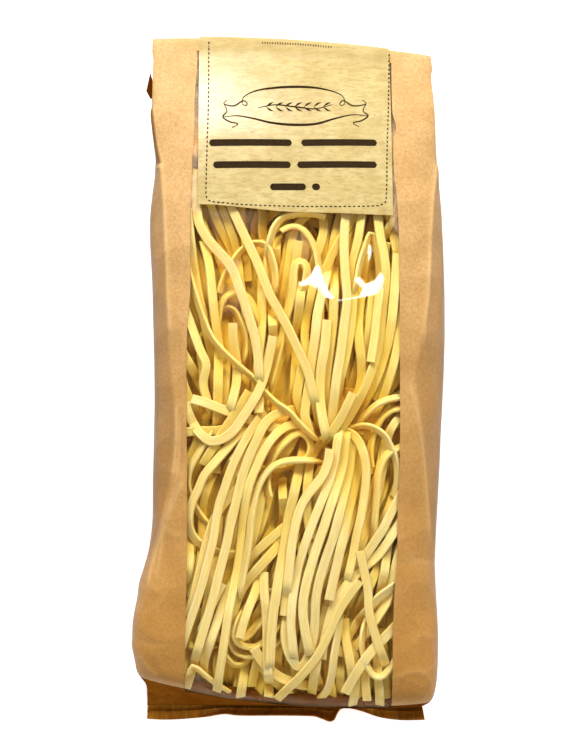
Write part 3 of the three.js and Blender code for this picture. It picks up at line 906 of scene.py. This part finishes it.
def ribbon_mesh(strand, start):
    """A bevelled bar's points and faces, and how far across and along the ribbon each point is."""
    keep = np.unique(np.concatenate([np.arange(0, len(strand.line), 4), [len(strand.line) - 1]]))
    centre, turn = np.column_stack([strand.line, strand.z])[keep], np.radians(strand.roll[keep])
    heading = unit(np.gradient(centre, axis=0))
    flat = unit(np.cross(heading, (0, 0, 1)))
    up = np.cross(flat, heading)
    wide = flat * np.cos(turn)[:, None] + up * np.sin(turn)[:, None]
    thick = np.cross(wide, heading)
    w, t = strand.width / 2, RIBBON_THICK / 2
    corners = [(w - BEVEL, t), (w, t - BEVEL), (w, BEVEL - t), (w - BEVEL, -t),
               (BEVEL - w, -t), (-w, BEVEL - t), (-w, t - BEVEL), (BEVEL - w, t)]
    rings = np.stack([centre + wide * a + thick * b for a, b in corners], 1)
    across = np.broadcast_to([a for a, _ in corners], rings.shape[:2])
    along = np.broadcast_to((keep * STEP)[:, None], rings.shape[:2])
    last = start + 8 * (len(centre) - 1)
    end = np.array([[7, 0, 3, 4], [0, 1, 2, 3], [4, 5, 6, 7]])
    faces = [grid_faces(len(centre), 8, start, wrap=True)[:, ::-1], start + end, last + end[:, ::-1]]
    return rings.reshape(-1, 3), np.concatenate(faces), across.ravel(), along.ravel()


def ribbon_piece(name, heap, strands, material):
    """Many ribbons in one mesh."""
    parts, count = [], 0
    for strand in strands:
        points, faces, across, along = ribbon_mesh(strand, count)
        own = np.full(len(points), strand.tone)
        parts.append((points, faces, heap.depth_shade_and_tone(points, own), across, along, own))
        count += len(points)
    points, faces, tone, across, along, own = [np.concatenate(part) for part in zip(*parts)]
    return make_piece(name, points, faces, material, tone=tone, across=across, along=along, own=own)


def pasta_pieces():
    """The core, the ribbons that show and those that fill in below them."""
    heap = Heap()
    heap.lay_top()
    top_count = len(heap.strands)
    heap.lay_fill()
    pasta = pasta_material()
    pieces = [core_piece(heap, pasta)]
    starts = range(top_count, len(heap.strands), GROUP)
    groups = [heap.strands[:top_count]] + [heap.strands[k:k + GROUP] for k in starts]
    for number, group in enumerate(groups):
        pieces.append(ribbon_piece(f"ribbons_{number}", heap, group, pasta))
    for piece in pieces:
        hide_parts("pasta")
        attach(piece, "root")


def lowest_near(heights):
    """The lowest value of a map in a square round each cell."""
    padded = np.pad(heights, CORE_SPAN // 2, mode="edge")
    return sliding_window_view(padded, (CORE_SPAN, CORE_SPAN)).min((-2, -1))


def core_piece(heap, material):
    """What is too deep to tell apart: a closed body under the ribbons, down to the bag's back."""
    rows, columns = 120, 48
    ys = np.linspace(*CORE_ENDS, rows)[:, None]
    s = section(ys, CORE_INSET)
    reach = np.sin(np.linspace(-math.pi / 2, math.pi / 2, columns))[None, :] * 0.985
    narrower = s.fold + 5 * smooth(-108, -120, ys)  # clear of the folded sides and the tucked corners
    x = reach * (np.where(reach < 0, s.left, s.right) - narrower)
    top = np.minimum(height_at(s, x, 1), s.middle + s.half)
    upper = settled(x, ys, top)
    floor = lowest_near(heap.ceiling)[heap.cells(upper)]
    sunk_at_top = 6 * smooth(92, 104, ys)
    top = np.minimum(top, floor - CORE_GAP - sunk_at_top)
    upper[..., 2] = top
    lower = settled(x, ys, np.minimum(height_at(s, x, -1) + 0.5, top - CORE_GAP))
    ring = np.concatenate([upper, lower[:, ::-1]], 1)
    count = ring.shape[1]
    faces = [grid_faces(rows, count, wrap=True)[:, ::-1]]
    for row, way in ((0, 1), (rows - 1, -1)):
        a = row * count + np.arange(columns - 1)
        b = row * count + count - 1 - np.arange(columns - 1)
        faces.append(np.stack([a, a + 1, b - 1, b], -1)[:, ::way])
    faces = np.concatenate(faces)
    # painted shade: the core takes the pasta's darkest tone
    return make_piece("pasta_core", ring, faces, material, tone=np.zeros(rows * count))


# ---- The paper bag ----
PAPER_SHEET = 0.3
TOP_TAPER = 0.2  # how much narrower the closed top is, as a share of what is past the window
TOP_CLOSES = (120, 128)  # y over which its sides come together
BACK_IN = 1.3  # how far the back is drawn in at the top, so that it doesn't show past the front
ARC_POINTS = 160  # on each side of the window; the back has twice as many
# How much further in the left side lies than the CAD part's.
left_trim = curve_of([(-126, -1.2), (-123, -1.1), (-120, -0.4), (-117, 0.2), (-113.5, 0.6), (-110, 1.2),
                      (-102, 1.4), (-94, 1.4), (-89, 1.1), (-83, 0.4), (-74, 0.2), (-56, 0.6), (-40, 0.2),
                      (-20, 0)])


def bag_ring(y, steps, left_edge, right_edge):
    """The paper round the bag at y, from the window's right edge under the back to its left edge."""
    s = section(y)
    s.left = s.left - left_trim(y)

    def arc(from_turn, to_turn, side, count):
        turn = np.linspace(from_turn, to_turn, count)
        square = s.square if side > 0 else BACK_SQUARE
        reach = np.sign(np.cos(turn)) * np.abs(np.cos(turn)) ** (2 / square)
        x = reach * np.where(reach < 0, s.left, s.right)
        return np.stack([x, height_at(s, x, side)], 1)

    half_square = float(s.square) / 2
    right_turn = math.acos((right_edge / float(s.right)) ** half_square)
    left_turn = math.acos((-left_edge / float(s.left)) ** half_square)
    line = np.concatenate([arc(right_turn, 0, 1, ARC_POINTS),
                           arc(2 * math.pi, math.pi, -1, 2 * ARC_POINTS)[1:],
                           arc(math.pi, math.pi - left_turn, 1, ARC_POINTS)[1:]])
    closed = smooth(*TOP_CLOSES, y)
    inward = s.fold * np.maximum(1 - np.abs(line[:, 1] - s.middle) / s.half, 0) * (1 - closed)
    taper = TOP_TAPER * closed * np.maximum(np.abs(line[:, 0]) - WINDOW_HALF, 0)
    hidden = BACK_IN * smooth(60, 90, y) * (line[:, 1] < s.middle)
    line[:, 0] -= np.sign(line[:, 0]) * (inward + taper + hidden)
    return np.column_stack([resample(line, steps), np.full(len(steps), s.y)])[:, [0, 2, 1]]


# The paper's edges along the window.
LEFT_EDGE = ("196.5,40 196.5,68 194.2,98 193.8,130 192,152 191,190 190,230 190,290 187,330 186,400 "
             "187,500 186,600 185,690")
RIGHT_EDGE = ("391,48 392.3,100 393.3,115 396.5,127 394,140 394.5,170 397,200 399,240 400,330 400,440 "
              "398,500 397,560 394,600 392,695")


def edge_curve(pixels):
    """A window edge's straight x as a function of y."""
    x, y = unsettle(*Camera.on_front(pixels).T)
    return curve_of(sorted(zip(y, x)))


CREASED_FROM = (14, 22)  # heights over which the front's creases fade in
# painted shade: the sides' darkening fades in over this span of y
SIDES_FROM = (-84, -48)  # y over which the darker sides do


def paper_relief(points):
    """How far the creased paper stands out at places on its outside."""
    x, y, z = np.moveaxis(points, -1, 0)
    facing_up = normals_of(points)[..., 2]
    folds = smooth(*CREASED_FROM, z) * smooth(-0.2, 0.3, facing_up) * ridges(PAPER_FOLDS, x, y)
    waves = rumple(x, y, z, size=26, depth=0.5, seed=3.0) + rumple(x, y, z, size=9, depth=0.16, seed=8.0)
    return (folds + waves * (0.25 + 0.75 * smooth(0.2, 0.6, facing_up))) * smooth(0, 4, z)


# The sides seen past the front's edges, with painted shade: how much darker they are painted, how soft their
# edge is, outline in pixels.
PAPER_SIDES = [
    (0.35, 1.8, "130,96 152,100 157,145 162,166 164,192 167,256 168,300 171,350 176,400 177,425 175,465 "
     "168,500 158,540 149,575 130,600"),
    (0.25, 1.2, "470,160 437,162 432,207 429,290 420,340 413,380 421,430 427,490 431,545 470,545"),
    (0.8, 0.6, "140,60 151.5,60 152.5,97 154.5,118 158,145 163,165 150,168 140,120"),
    (0.7, 0.6, "433,60 445,60 448,168 438,166 436,132"),
]


def paper_shade(grid):
    """How light the paper is painted at places on the bag, 1 in full: painted shade makes its sides and steep
    places darker.
    """
    x, y = grid[..., 0], grid[..., 1]
    shade = np.ones(x.shape)
    for darker, soft, pixels in PAPER_SIDES:
        shade -= darker * smooth(*SIDES_FROM, y) * patch(pixels, x, y, soft)
    # painted shade: steep places, which face away from above, darker
    return np.maximum(shade - 0.4 * (1 - smooth(0.1, 0.75, normals_of(grid)[..., 2])), 0)


def warmth(y):
    """Painted shade of the paper: darker and more golden towards the bottom."""
    return np.clip((90 - y) / 190, 0, 1)


def wear(grid):
    """Where the paper is paler along its creases."""
    x, y, z = np.moveaxis(grid, -1, 0)
    worn = [(min(abs(height) / 0.8, 1), 0.7, pixels) for height, _, pixels in PAPER_FOLDS]
    return np.abs(ridges(worn, x, y)) * smooth(*CREASED_FROM, z)


GUSSET_TIP, TIP_HEIGHT = "150.5,99 154,98 146.2,91 154,89 148,83 153,82 149.8,74 150.5,73", 15.0


def gusset_tip():
    """A corner of the folded side that sticks out near the top on the left, two points a row."""
    x, y = Camera.at(*points_of(GUSSET_TIP).T, TIP_HEIGHT)
    return np.stack(np.broadcast_arrays(x, y, TIP_HEIGHT), 1).reshape(-1, 2, 3)


# Folds in the paper's front: height, width, line in pixels.
PAPER_FOLDS = [
    (1.2, 1.6, "152,104 157,145 162,166 164,192 167,256 168,290 170,337"),
    (0.8, 0.9, "176,405 176,440 172,480"),
    (-0.5, 0.9, "180,420 180,450 176,480 168,510"),
    (0.9, 1.2, "184,481 170,511 155,554 147,587"),
    (0.6, 0.7, "163,530 160,555 155,580"),
    (1.2, 1.6, "437,162 432,207 428,290 425,325 424,350"),
    (0.9, 1.0, "410,385 419,420 424,455 427,500 430,540"),
    (-0.5, 1.1, "409,561 424,560 436,563"),
    (0.35, 0.9, "414,640 423,634 432,640"),
    (0.45, 1.2, "396,680 406,673 422,672 433,684"),
    (0.3, 0.9, "424,672 431,667 436,664"),
    (-0.3, 1.2, "136,640 150,644 170,645"),
    (0.2, 0.9, "147,587 156,590 163,596 159,604 149,610"),
    (0.3, 0.9, "160,520 166,530 176,536 186,535"),
    (0.7, 0.8, "155,170 160,168 166,170"),
    (0.5, 0.8, "140,655 148,668 160,678"),
]
# How far out the bag reaches on the left and the right, each at the seam and at its front's lower edge.
TUCKS = ((-56.4, -54.2), (54.9, 52.2))
BAG_ROWS = 260
CROWDING = 0.35  # how far the rows crowd towards both ends
# Points round the bag, closer at the window and sides: how many, and some with their share of the way.
POINTS_ROUND = (190, [0, 60, 85, 105, 130, 189], [0, 0.12, 0.3, 0.7, 0.88, 1])


def bag_piece(material, doubled):
    """The bag in its two papers, with what closes its front above and below the window."""
    even = np.linspace(0, 1, BAG_ROWS)
    share = CROWDING * (1 - np.cos(np.pi * even)) / 2 + (1 - CROWDING) * even
    ys = SEAM_Y + share * (END_Y - SEAM_Y)
    count, numbers, shares = POINTS_ROUND
    steps = np.interp(np.arange(count), numbers, shares)
    left, right = edge_curve(LEFT_EDGE), edge_curve(RIGHT_EDGE)
    rings = np.stack([bag_ring(y, steps, float(left(y)), float(right(y))) for y in ys])
    grid = settled(*np.moveaxis(rings, -1, 0))
    closing = smooth(0.3, 3, section(ys).half)[:, None]  # 0 where the bag has closed
    left, right = [np.interp(ys, (SEAM_Y, CORNER_Y), ends)[:, None] for ends in TUCKS]
    low = smooth(-116, -125.5, ys)[:, None] * (1 - smooth(24, EDGE_HEIGHT, grid[..., 2]))
    grid[..., 0] += low * (np.clip(grid[..., 0], left, right) - grid[..., 0])
    grid = grid + normals_of(grid) * (closing * paper_relief(grid))[..., None]
    corner = int(np.searchsorted(ys, CORNER_Y + 0.2))
    upper = grid[corner:]
    # painted shade on the bag's sides and steep places, and painted warm shade towards the bottom
    bag = sheet_of("kraft_bag", upper, PAPER_SHEET * closing[corner:], material, shade=paper_shade(upper),
                   warm=warmth(upper[..., 1]), worn=wear(upper))
    tuck = grid[:corner + 1]
    # painted shade: the tucked-in bottom dark, lighter towards the left
    lower = sheet_of("kraft_bag_bottom", tuck, PAPER_SHEET, doubled,
                     shade=0.2 * smooth(24, 54, -tuck[..., 0]))
    # painted shade: the gusset's tip in full shade
    tip = sheet_of("gusset_tip", gusset_tip(), PAPER_SHEET, doubled, shade=0.0)
    fold = panel_piece("fold_panel", FOLD_Y - 1.5, END_Y, material, 1.0)
    # painted shade: the bottom panel and the lap, under the bag's overhang, dark
    bottom = panel_piece("bottom_panel", SEAM_Y, CORNER_Y - 1.2, doubled, 0.1)
    lap = sheet_of("bottom_lap", bottom_lap(), PAPER_SHEET, doubled, shade=0.15)
    for piece in (bag, lower, tip, fold, bottom, lap):
        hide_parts("paper_bag")
        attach(piece, "root")


def strip_across(from_y, to_y, rows, depth):
    """A strip of paper from one edge of the window to the other, so deep below the front at each row."""
    x = np.linspace(-WINDOW_HALF - 1, WINDOW_HALF + 1, 60)[None, :]
    s = section(np.linspace(from_y, to_y, rows)[:, None])
    return settled(x, s.y, height_at(s, x, 1) - depth)


def bottom_lap():
    """The bottom's paper where it goes on a little way in under the film's lower edge."""
    return strip_across(FILM_END_Y, CORNER_Y + 4, 10, np.linspace(3.2, 9, 10)[:, None])


def panel_piece(name, from_y, to_y, material, shade):
    """The paper between the window's two edges, where the bag is closed."""
    grid = strip_across(from_y, to_y, 16, 0.1)
    # painted shade as given, and painted warm shade towards the bottom
    return sheet_of(name, grid, PAPER_SHEET, material, shade=shade, warm=warmth(grid[..., 1]))


SEAM_TOP = -130.17  # y where the seam hangs from the bottom panel
SEAM_HEIGHT = 1.2  # above the table at its two ends
SEAM_EDGE = ("147,719 165,720 185,719 205,716 224,712 240,713 310,713 322,716 329,719 333,718 336,712 "
             "340,707 348,706 362,710 380,717 400,720 425,720")


def seam_piece(material):
    """The flat seam below the bottom panel, with a fold along it and its middle lifted off the table, in
    painted light and shade.
    """
    columns, rows = 220, 14
    edge = np.stack(Camera.at(*points_of(SEAM_EDGE).T, 1.5), 1)
    edge_x, edge_y = resample(rounded_line(edge, 0.5), np.linspace(0, 1, columns)).T
    out = np.linspace(0, 1, rows)[:, None]
    taper = np.where(edge_x > 0, 0.025, 0.004)  # by which its upper edge is narrower
    x = edge_x * (1 - taper * (1 - out))
    y = SEAM_TOP + (edge_y - SEAM_TOP) * out
    lift = 5.5 * (1 - smooth(10, 46, np.abs(edge_x)))  # of its middle
    waves = 0.5 * np.sin(edge_x / 6)
    fold = np.exp(-np.abs(out - 0.45) / 0.12)
    z = SEAM_HEIGHT + lift * out ** 2 + waves * out + 1.1 * fold
    # painted light and shade: a lit line above the fold, the fold in shade, a lit rim at its edge, the right
    # side darker
    painted_pale_line = np.exp(-np.abs(out - 0.25) / 0.08)
    left = smooth(15, 45, -edge_x) * (0.3 * painted_pale_line - 0.7 * fold + 0.4 * smooth(0.6, 0.8, out))
    right = smooth(25, 50, edge_x) * (0.4 * smooth(0.8, 0.95, out) - 0.75)
    shade = np.clip(0.95 + (left + right), 0, 1)
    seam = sheet_of("bottom_seam", np.stack([x, y, z], -1)[::-1], 0.5, material, shade=shade[::-1])
    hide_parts("paper_bag")
    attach(seam, "root")


# ---- The film ----
# Places where the crumpled film leans towards the light, as outlines in pixels.
FILM_FACETS = [
    "297,281 303,279 308,275 313,267 317,262 322,268 326,280 331,291 337,297 334,301 325,299 316,290 "
    "309,286 302,288 296,285",
    "352,277 361,275 366,282 373,279 381,268 386,277 384,290 375,297 357,300 338,303 331,299 344,297 "
    "357,295 361,289 355,284",
    "366,246 371,240 374,250 372,262 367,262",
]
FACET_LEAN = (-0.22, 0.33, 0)
# Milky places, a painted veil for the film's soft reflections and, beside the label and at the bottom, for
# the brown paper seen through it: strength, outline in pixels.
FILM_PAINTED_HAZE = [
    (0.22, "214,258 245,258 240,275 226,274"),
    (0.1, "214,283 236,282 254,300 250,318 222,316"),
    (0.12, "283,232 300,226 312,240 316,262 300,262 288,250"),
    (0.1, "200,207 262,209 262,236 240,232 214,240"),
    (0.12, "318,228 332,226 330,246 316,250"),
    (0.5, "190,44 202,44 202,214 186,214 188,128"),
    (0.5, "388,50 401,50 401,240 389,225"),
    (0.16, "184,672 200,672 232,690 260,696 260,712 184,706"),
    (0.08, "255,694 396,694 396,712 255,712"),
]
# Wrinkles in the film: height, width, line in pixels.
FILM_FOLDS = [
    (0.3, 1.0, "193,130 195,160 192,190 196,214"),
    (0.3, 1.0, "393,160 397,190 394,220 398,250 396,290"),
    (0.6, 1.6, "205,262 225,268 250,286 262,300"),
    (0.5, 1.6, "236,262 250,268 262,262"),
    (0.25, 1.5, "300,225 312,238 318,256 330,280"),
    (0.25, 1.5, "320,216 335,232 342,250 330,262"),
    (0.4, 1.5, "205,214 232,219 262,216"),
    (0.6, 1.8, "186,672 205,686 228,694 262,696"),
    (0.5, 1.5, "283,692 310,700 330,690"),
    (0.5, 1.5, "340,690 362,697 385,690"),
]


PATCH_EDGE = 2.0  # how soft the edges of facets and milky places are


def film_piece():
    """The crumpled film, less shiny under the label and low down at the bottom of the pack."""
    rows, columns = 460, 150
    ys = np.linspace(FILM_END_Y, FOLD_Y - 0.5, rows)[:, None]
    across = np.linspace(-WINDOW_HALF - FILM_LAP, WINDOW_HALF + FILM_LAP, columns)[None, :]
    s = section(ys, FILM_DEPTH)
    smooth_grid = settled(across, s.y, height_at(s, across, 1))
    x, y, z = np.moveaxis(smooth_grid, -1, 0)
    relief = ridges(FILM_FOLDS, x, y) + rumple(x, y, z, size=16, depth=0.25, seed=5.0)
    relief = np.maximum(relief, -0.15) * (1 - smooth(WINDOW_HALF - 2, WINDOW_HALF + 1, np.abs(across)))
    grid = smooth_grid + normals_of(smooth_grid) * relief[..., None]
    tilt = np.max([patch(pixels, x, y, PATCH_EDGE) for pixels in FILM_FACETS], axis=0)
    haze = sum(strength * patch(pixels, x, y, PATCH_EDGE) for strength, pixels in FILM_PAINTED_HAZE)
    # painted haze: a brown veil along its lower edge
    haze = haze + 0.1 * (1 - smooth(CORNER_Y, CORNER_Y + 3, ys))  # along its lower edge
    covered = smooth(LABEL_BOTTOM - 2, LABEL_BOTTOM + 3, ys)  # by the label
    shine = np.where(ys > 0, 1, smooth(43, 50, z)) * (1 - 0.8 * covered)
    film = make_piece("clear_film", grid, grid_faces(rows, columns), film_material(),
                      tilt=tilt, haze=haze, shine=shine)
    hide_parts("window_film")
    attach(film, "root")


# ---- The label ----
LABEL_BOTTOM, LABEL_BACK = 66.0, 80.0  # y of its lower edge on the front and of its end on the back
LABEL_LEFT, LABEL_RIGHT = -37.6, 37.4
LABEL_LIFT, LABEL_SHEET = PLAY + 0.05, 0.3
FRONT_LENGTH, BEND_LENGTH = FOLD_Y - LABEL_BOTTOM, math.pi * FOLD_RADIUS
LABEL_LENGTH = FRONT_LENGTH + BEND_LENGTH + (FOLD_Y - LABEL_BACK)


def label_place(x, v, lift):
    """A place on the label: x across, v up its front from the bottom, round the fold and down the back."""
    flat = section(FOLD_Y)
    front, back = height_at(flat, x, 1), height_at(flat, x, -1)
    angle = math.pi * (0.5 - np.clip((v - FRONT_LENGTH) / BEND_LENGTH, 0, 1))
    radius = float(section(END_Y).middle - back_height(FOLD_Y))
    bend_y = FOLD_Y + (radius + lift) * np.cos(angle) ** 2
    bend_z = (front + back) / 2 + ((front - back) / 2 + lift) * np.sin(angle)
    on_front, on_back = v < FRONT_LENGTH, v > FRONT_LENGTH + BEND_LENGTH
    y = np.where(on_front, LABEL_BOTTOM + v, FOLD_Y - (v - FRONT_LENGTH - BEND_LENGTH))
    y = np.clip(y, LABEL_BACK - 20, FOLD_Y)  # in the bend it would pass the fold
    s = section(y)
    z = np.where(on_front, height_at(s, x, 1) + lift, height_at(s, x, -1) - lift)
    bent = ~(on_front | on_back)
    return settled(x, np.where(bent, bend_y, y), np.where(bent, bend_z, z))


def label_piece():
    """The label, duller where it nears the fold, and painted darker there (painted shade)."""
    rows, columns = 170, 90
    x = np.linspace(LABEL_LEFT, LABEL_RIGHT, columns)[None, :]
    lower = label_edge(x)
    v = lower + (LABEL_LENGTH - lower) * np.linspace(0, 1, rows)[:, None]
    grid = label_place(x, v, LABEL_LIFT + LABEL_SHEET)
    label = sheet_of("paper_label", grid, LABEL_SHEET, label_material(),
                     bend=smooth(FRONT_LENGTH - 5, FRONT_LENGTH, v))
    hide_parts("label")
    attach(label, "root")


def label_edge(x):
    """Where the label's lower edge runs: lower on the right than on the left."""
    return -2.6 * smooth(-38, 0, x)


def on_label(pixels):
    """Label coordinates of places on it that show at pixels."""
    x, y = unsettle(*Camera.on_front(pixels).T)
    return np.stack([x, y - LABEL_BOTTOM], 1)


DASH_STEP = 0.2  # between points along a dash


class Print:
    """Ink on the label: thin flat shapes on its surface."""

    lift = LABEL_LIFT + LABEL_SHEET + 0.04

    def __init__(self):
        self.points, self.faces, self.count = [], [], 0

    def strip(self, line, widths):
        """A stroke along label coordinates, so wide at each point."""
        heading = unit(np.gradient(line, axis=0))
        side = np.stack([-heading[:, 1], heading[:, 0]], 1) * np.asarray(widths)[:, None] / 2
        both = np.stack([line - side, line + side], 1)
        placed = label_place(both[..., 0], both[..., 1], self.lift)
        self.points.append(placed.reshape(-1, 3))
        self.faces.append(grid_faces(len(line), 2, self.count)[:, ::-1])
        self.count += 2 * len(line)

    def stroke(self, pixels, thin, thick):
        """A curved stroke along a line in pixels, thin at its ends and thick in the middle."""
        line = rounded_line(on_label(pixels), 0.5)
        share = np.sin(np.linspace(0, math.pi, len(line)))
        self.strip(line, thin + (thick - thin) * share ** 1.5)

    def dashes(self, pixels, length, gap, width):
        """Dashes along a line in pixels."""
        line = rounded_line(on_label(pixels), DASH_STEP)
        step, span = int((length + gap) / DASH_STEP), int(length / DASH_STEP)
        for first in range(0, len(line) - span, step):
            self.strip(line[first:first + span + 1], np.full(span + 1, width))

    def bar(self, left, right, middle, height):
        """A bar with round ends between two pixels, standing for a word."""
        share = np.linspace(0, 1, 60)
        line = resample(on_label([(left, middle), (right, middle)]), share)
        from_end = np.linalg.norm(line[-1] - line[0]) * np.minimum(share, 1 - share)
        from_round = np.clip(1 - from_end / (height / 2), 0, 1)
        self.strip(line, height * np.sqrt(1 - from_round ** 2))


LABEL_BORDER = ("209,40 208.5,100 207,150 206,190 206.5,197 210,201 225,203 250,205 300,206.5 350,206.5 "
                "375,206 382,204.5 386,199 387,150 388.5,100 389,52")
LABEL_TOP_MARKS = "262,41 297,42.5 332,45.5"
# Strokes of the banner: width at the ends and in the middle, line in pixels.
BANNER = [
    (0.3, 1.05, "242,104 244,97 256,91 275,88 296,87 316,88 334,92 343,97 345,104"),
    (0.3, 1.05, "224,117 238,116 255,119 272,123 294,125 316,124 334,119 352,115 367,116"),
    (0.3, 0.6, "242,104 246,106 247,103 243,101 234,106 224,104 227,100"),
    (0.3, 0.6, "345,104 341,106 340,103 344,101 353,106 366,104 362,100"),
    (0.3, 0.6, "224,104 227,111 223,117 230,122 238,124 232,128"),
    (0.3, 0.6, "366,104 363,111 368,116 361,121 353,123 359,127"),
    (0.3, 0.6, "258,108 275,105 295,107 315,109 332,105"),
]
LEAF_PAIRS, LEAF_PITCH = 7, 9.5  # along the banner, and pixels from one to the next
# Bars that stand for words: left end, right end and middle line, in pixels.
WORDS = [(209, 292, 143), (301, 377, 143), (213, 291, 165), (297, 377, 165), (270, 306, 187), (312, 320, 187)]
WORD_HEIGHT = 2.7


def label_print():
    """The dashed border, a dotted line at the top, a banner with leaves, and bars that stand for words."""
    ink = Print()
    ink.dashes(LABEL_BORDER, length=1.2, gap=0.7, width=0.5)
    ink.dashes(LABEL_TOP_MARKS, length=0.6, gap=0.5, width=0.8)
    for thin, thick, pixels in BANNER:
        ink.stroke(pixels, thin, thick)
    for i in range(LEAF_PAIRS):
        px = 266 + LEAF_PITCH * i
        for side in (-1, 1):
            ink.stroke([(px, 107), (px + 4, 107 + 3 * side), (px + 8, 107 + 4.5 * side)], 0.1, 0.75)
    for left, right, middle in WORDS:
        ink.bar(left, right, middle, WORD_HEIGHT)
    points, faces = np.concatenate(ink.points), np.concatenate(ink.faces)
    print_piece = make_piece("label_print", points, faces, ink_material())
    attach(print_piece, "root")


# ---- The stage ----
def area_light(name, place, aim, size, power, in_gloss=True):
    """A soft light, in metres, that glossy things may be kept from showing."""
    data = bpy.data.lights.new(name, "AREA")
    data.shape = "RECTANGLE"
    data.size, data.size_y = size
    data.energy = power
    light = bpy.data.objects.new(name, data)
    bpy.context.scene.collection.objects.link(light)
    light.location = place
    light.rotation_euler = (Vector(aim) - Vector(place)).to_track_quat("-Z", "Y").to_euler()
    light.visible_glossy = in_gloss


TABLE_HALF, TABLE_Z = 4000, -0.6


def stage():
    """The table, the lights and how the picture is developed."""
    corners = [(x * TABLE_HALF, y * TABLE_HALF, TABLE_Z) for x, y in ((-1, -1), (1, -1), (1, 1), (-1, 1))]
    table = make_piece("table", corners, [[0, 1, 2, 3]], table_material())
    bpy.context.scene.world = studio_world()
    area_light("key", (-0.24, 0.72, 0.55), aim=(0, 0.05, 0.03), size=(0.46, 0.24), power=6.5)
    area_light("near_light", (0.1, -0.7, 0.55), aim=(0, -0.06, 0.03), size=(0.4, 0.3), power=1.2,
               in_gloss=False)
    area_light("top_light", (0.3, 0.9, 0.8), aim=(0, 0.02, 0.03), size=(0.3, 0.3), power=10, in_gloss=False)
    scene = bpy.context.scene
    scene.view_settings.view_transform = "Standard"
    scene.view_settings.look = "None"


def studio_world():
    """Soft light from above and from beyond the top of the pack, and little from the near side."""
    world = bpy.data.worlds.new("studio")
    world.use_nodes = True
    nodes, links = world.node_tree.nodes, world.node_tree.links
    heading = nodes.new("ShaderNodeTexCoord").outputs["Generated"]
    lean = nodes.new("ShaderNodeVectorMath")
    lean.operation = "DOT_PRODUCT"
    lean.inputs[1].default_value = (0.0, 0.45, 0.9)
    ramp = nodes.new("ShaderNodeValToRGB")
    for element, position, level in zip(ramp.color_ramp.elements, (0.05, 0.6), (0.14, 0.42)):
        element.position, element.color = position, grey(level)
    links.new(heading, lean.inputs[0])
    links.new(lean.outputs["Value"], ramp.inputs["Fac"])
    links.new(ramp.outputs["Color"], nodes["Background"].inputs["Color"])
    return world


def table_material():
    """A white table that glows, so that it shows white, and glows a little more below the pack than beside
    it: painted light that washes out the pack's shadow there.
    """
    s = Shader("white_table")
    level = s.ramp(s.noise(400, 2), [(0.3, grey(0.93)), (0.7, grey(0.96))])
    y = s.add("ShaderNodeSeparateXYZ", {"Vector": s.place}).outputs["Y"]
    # painted light: the glow is stronger below the pack, where its cast shadow falls
    glow = s.ramp(s.math("ADD", y, 0.2), [(0.055, grey(0.8)), (0.075, grey(0.5))])
    return s.surface(Base_Color=level, Roughness=0.8, Specular_IOR_Level=0.1, Emission_Color=grey(1),
                     Emission_Strength=glow)


def main():
    Camera.make()
    stage()
    doubled = doubled_material()
    bag_piece(kraft_material(), doubled)
    seam_piece(doubled)
    film_piece()
    label_piece()
    label_print()
    pasta_pieces()


main()
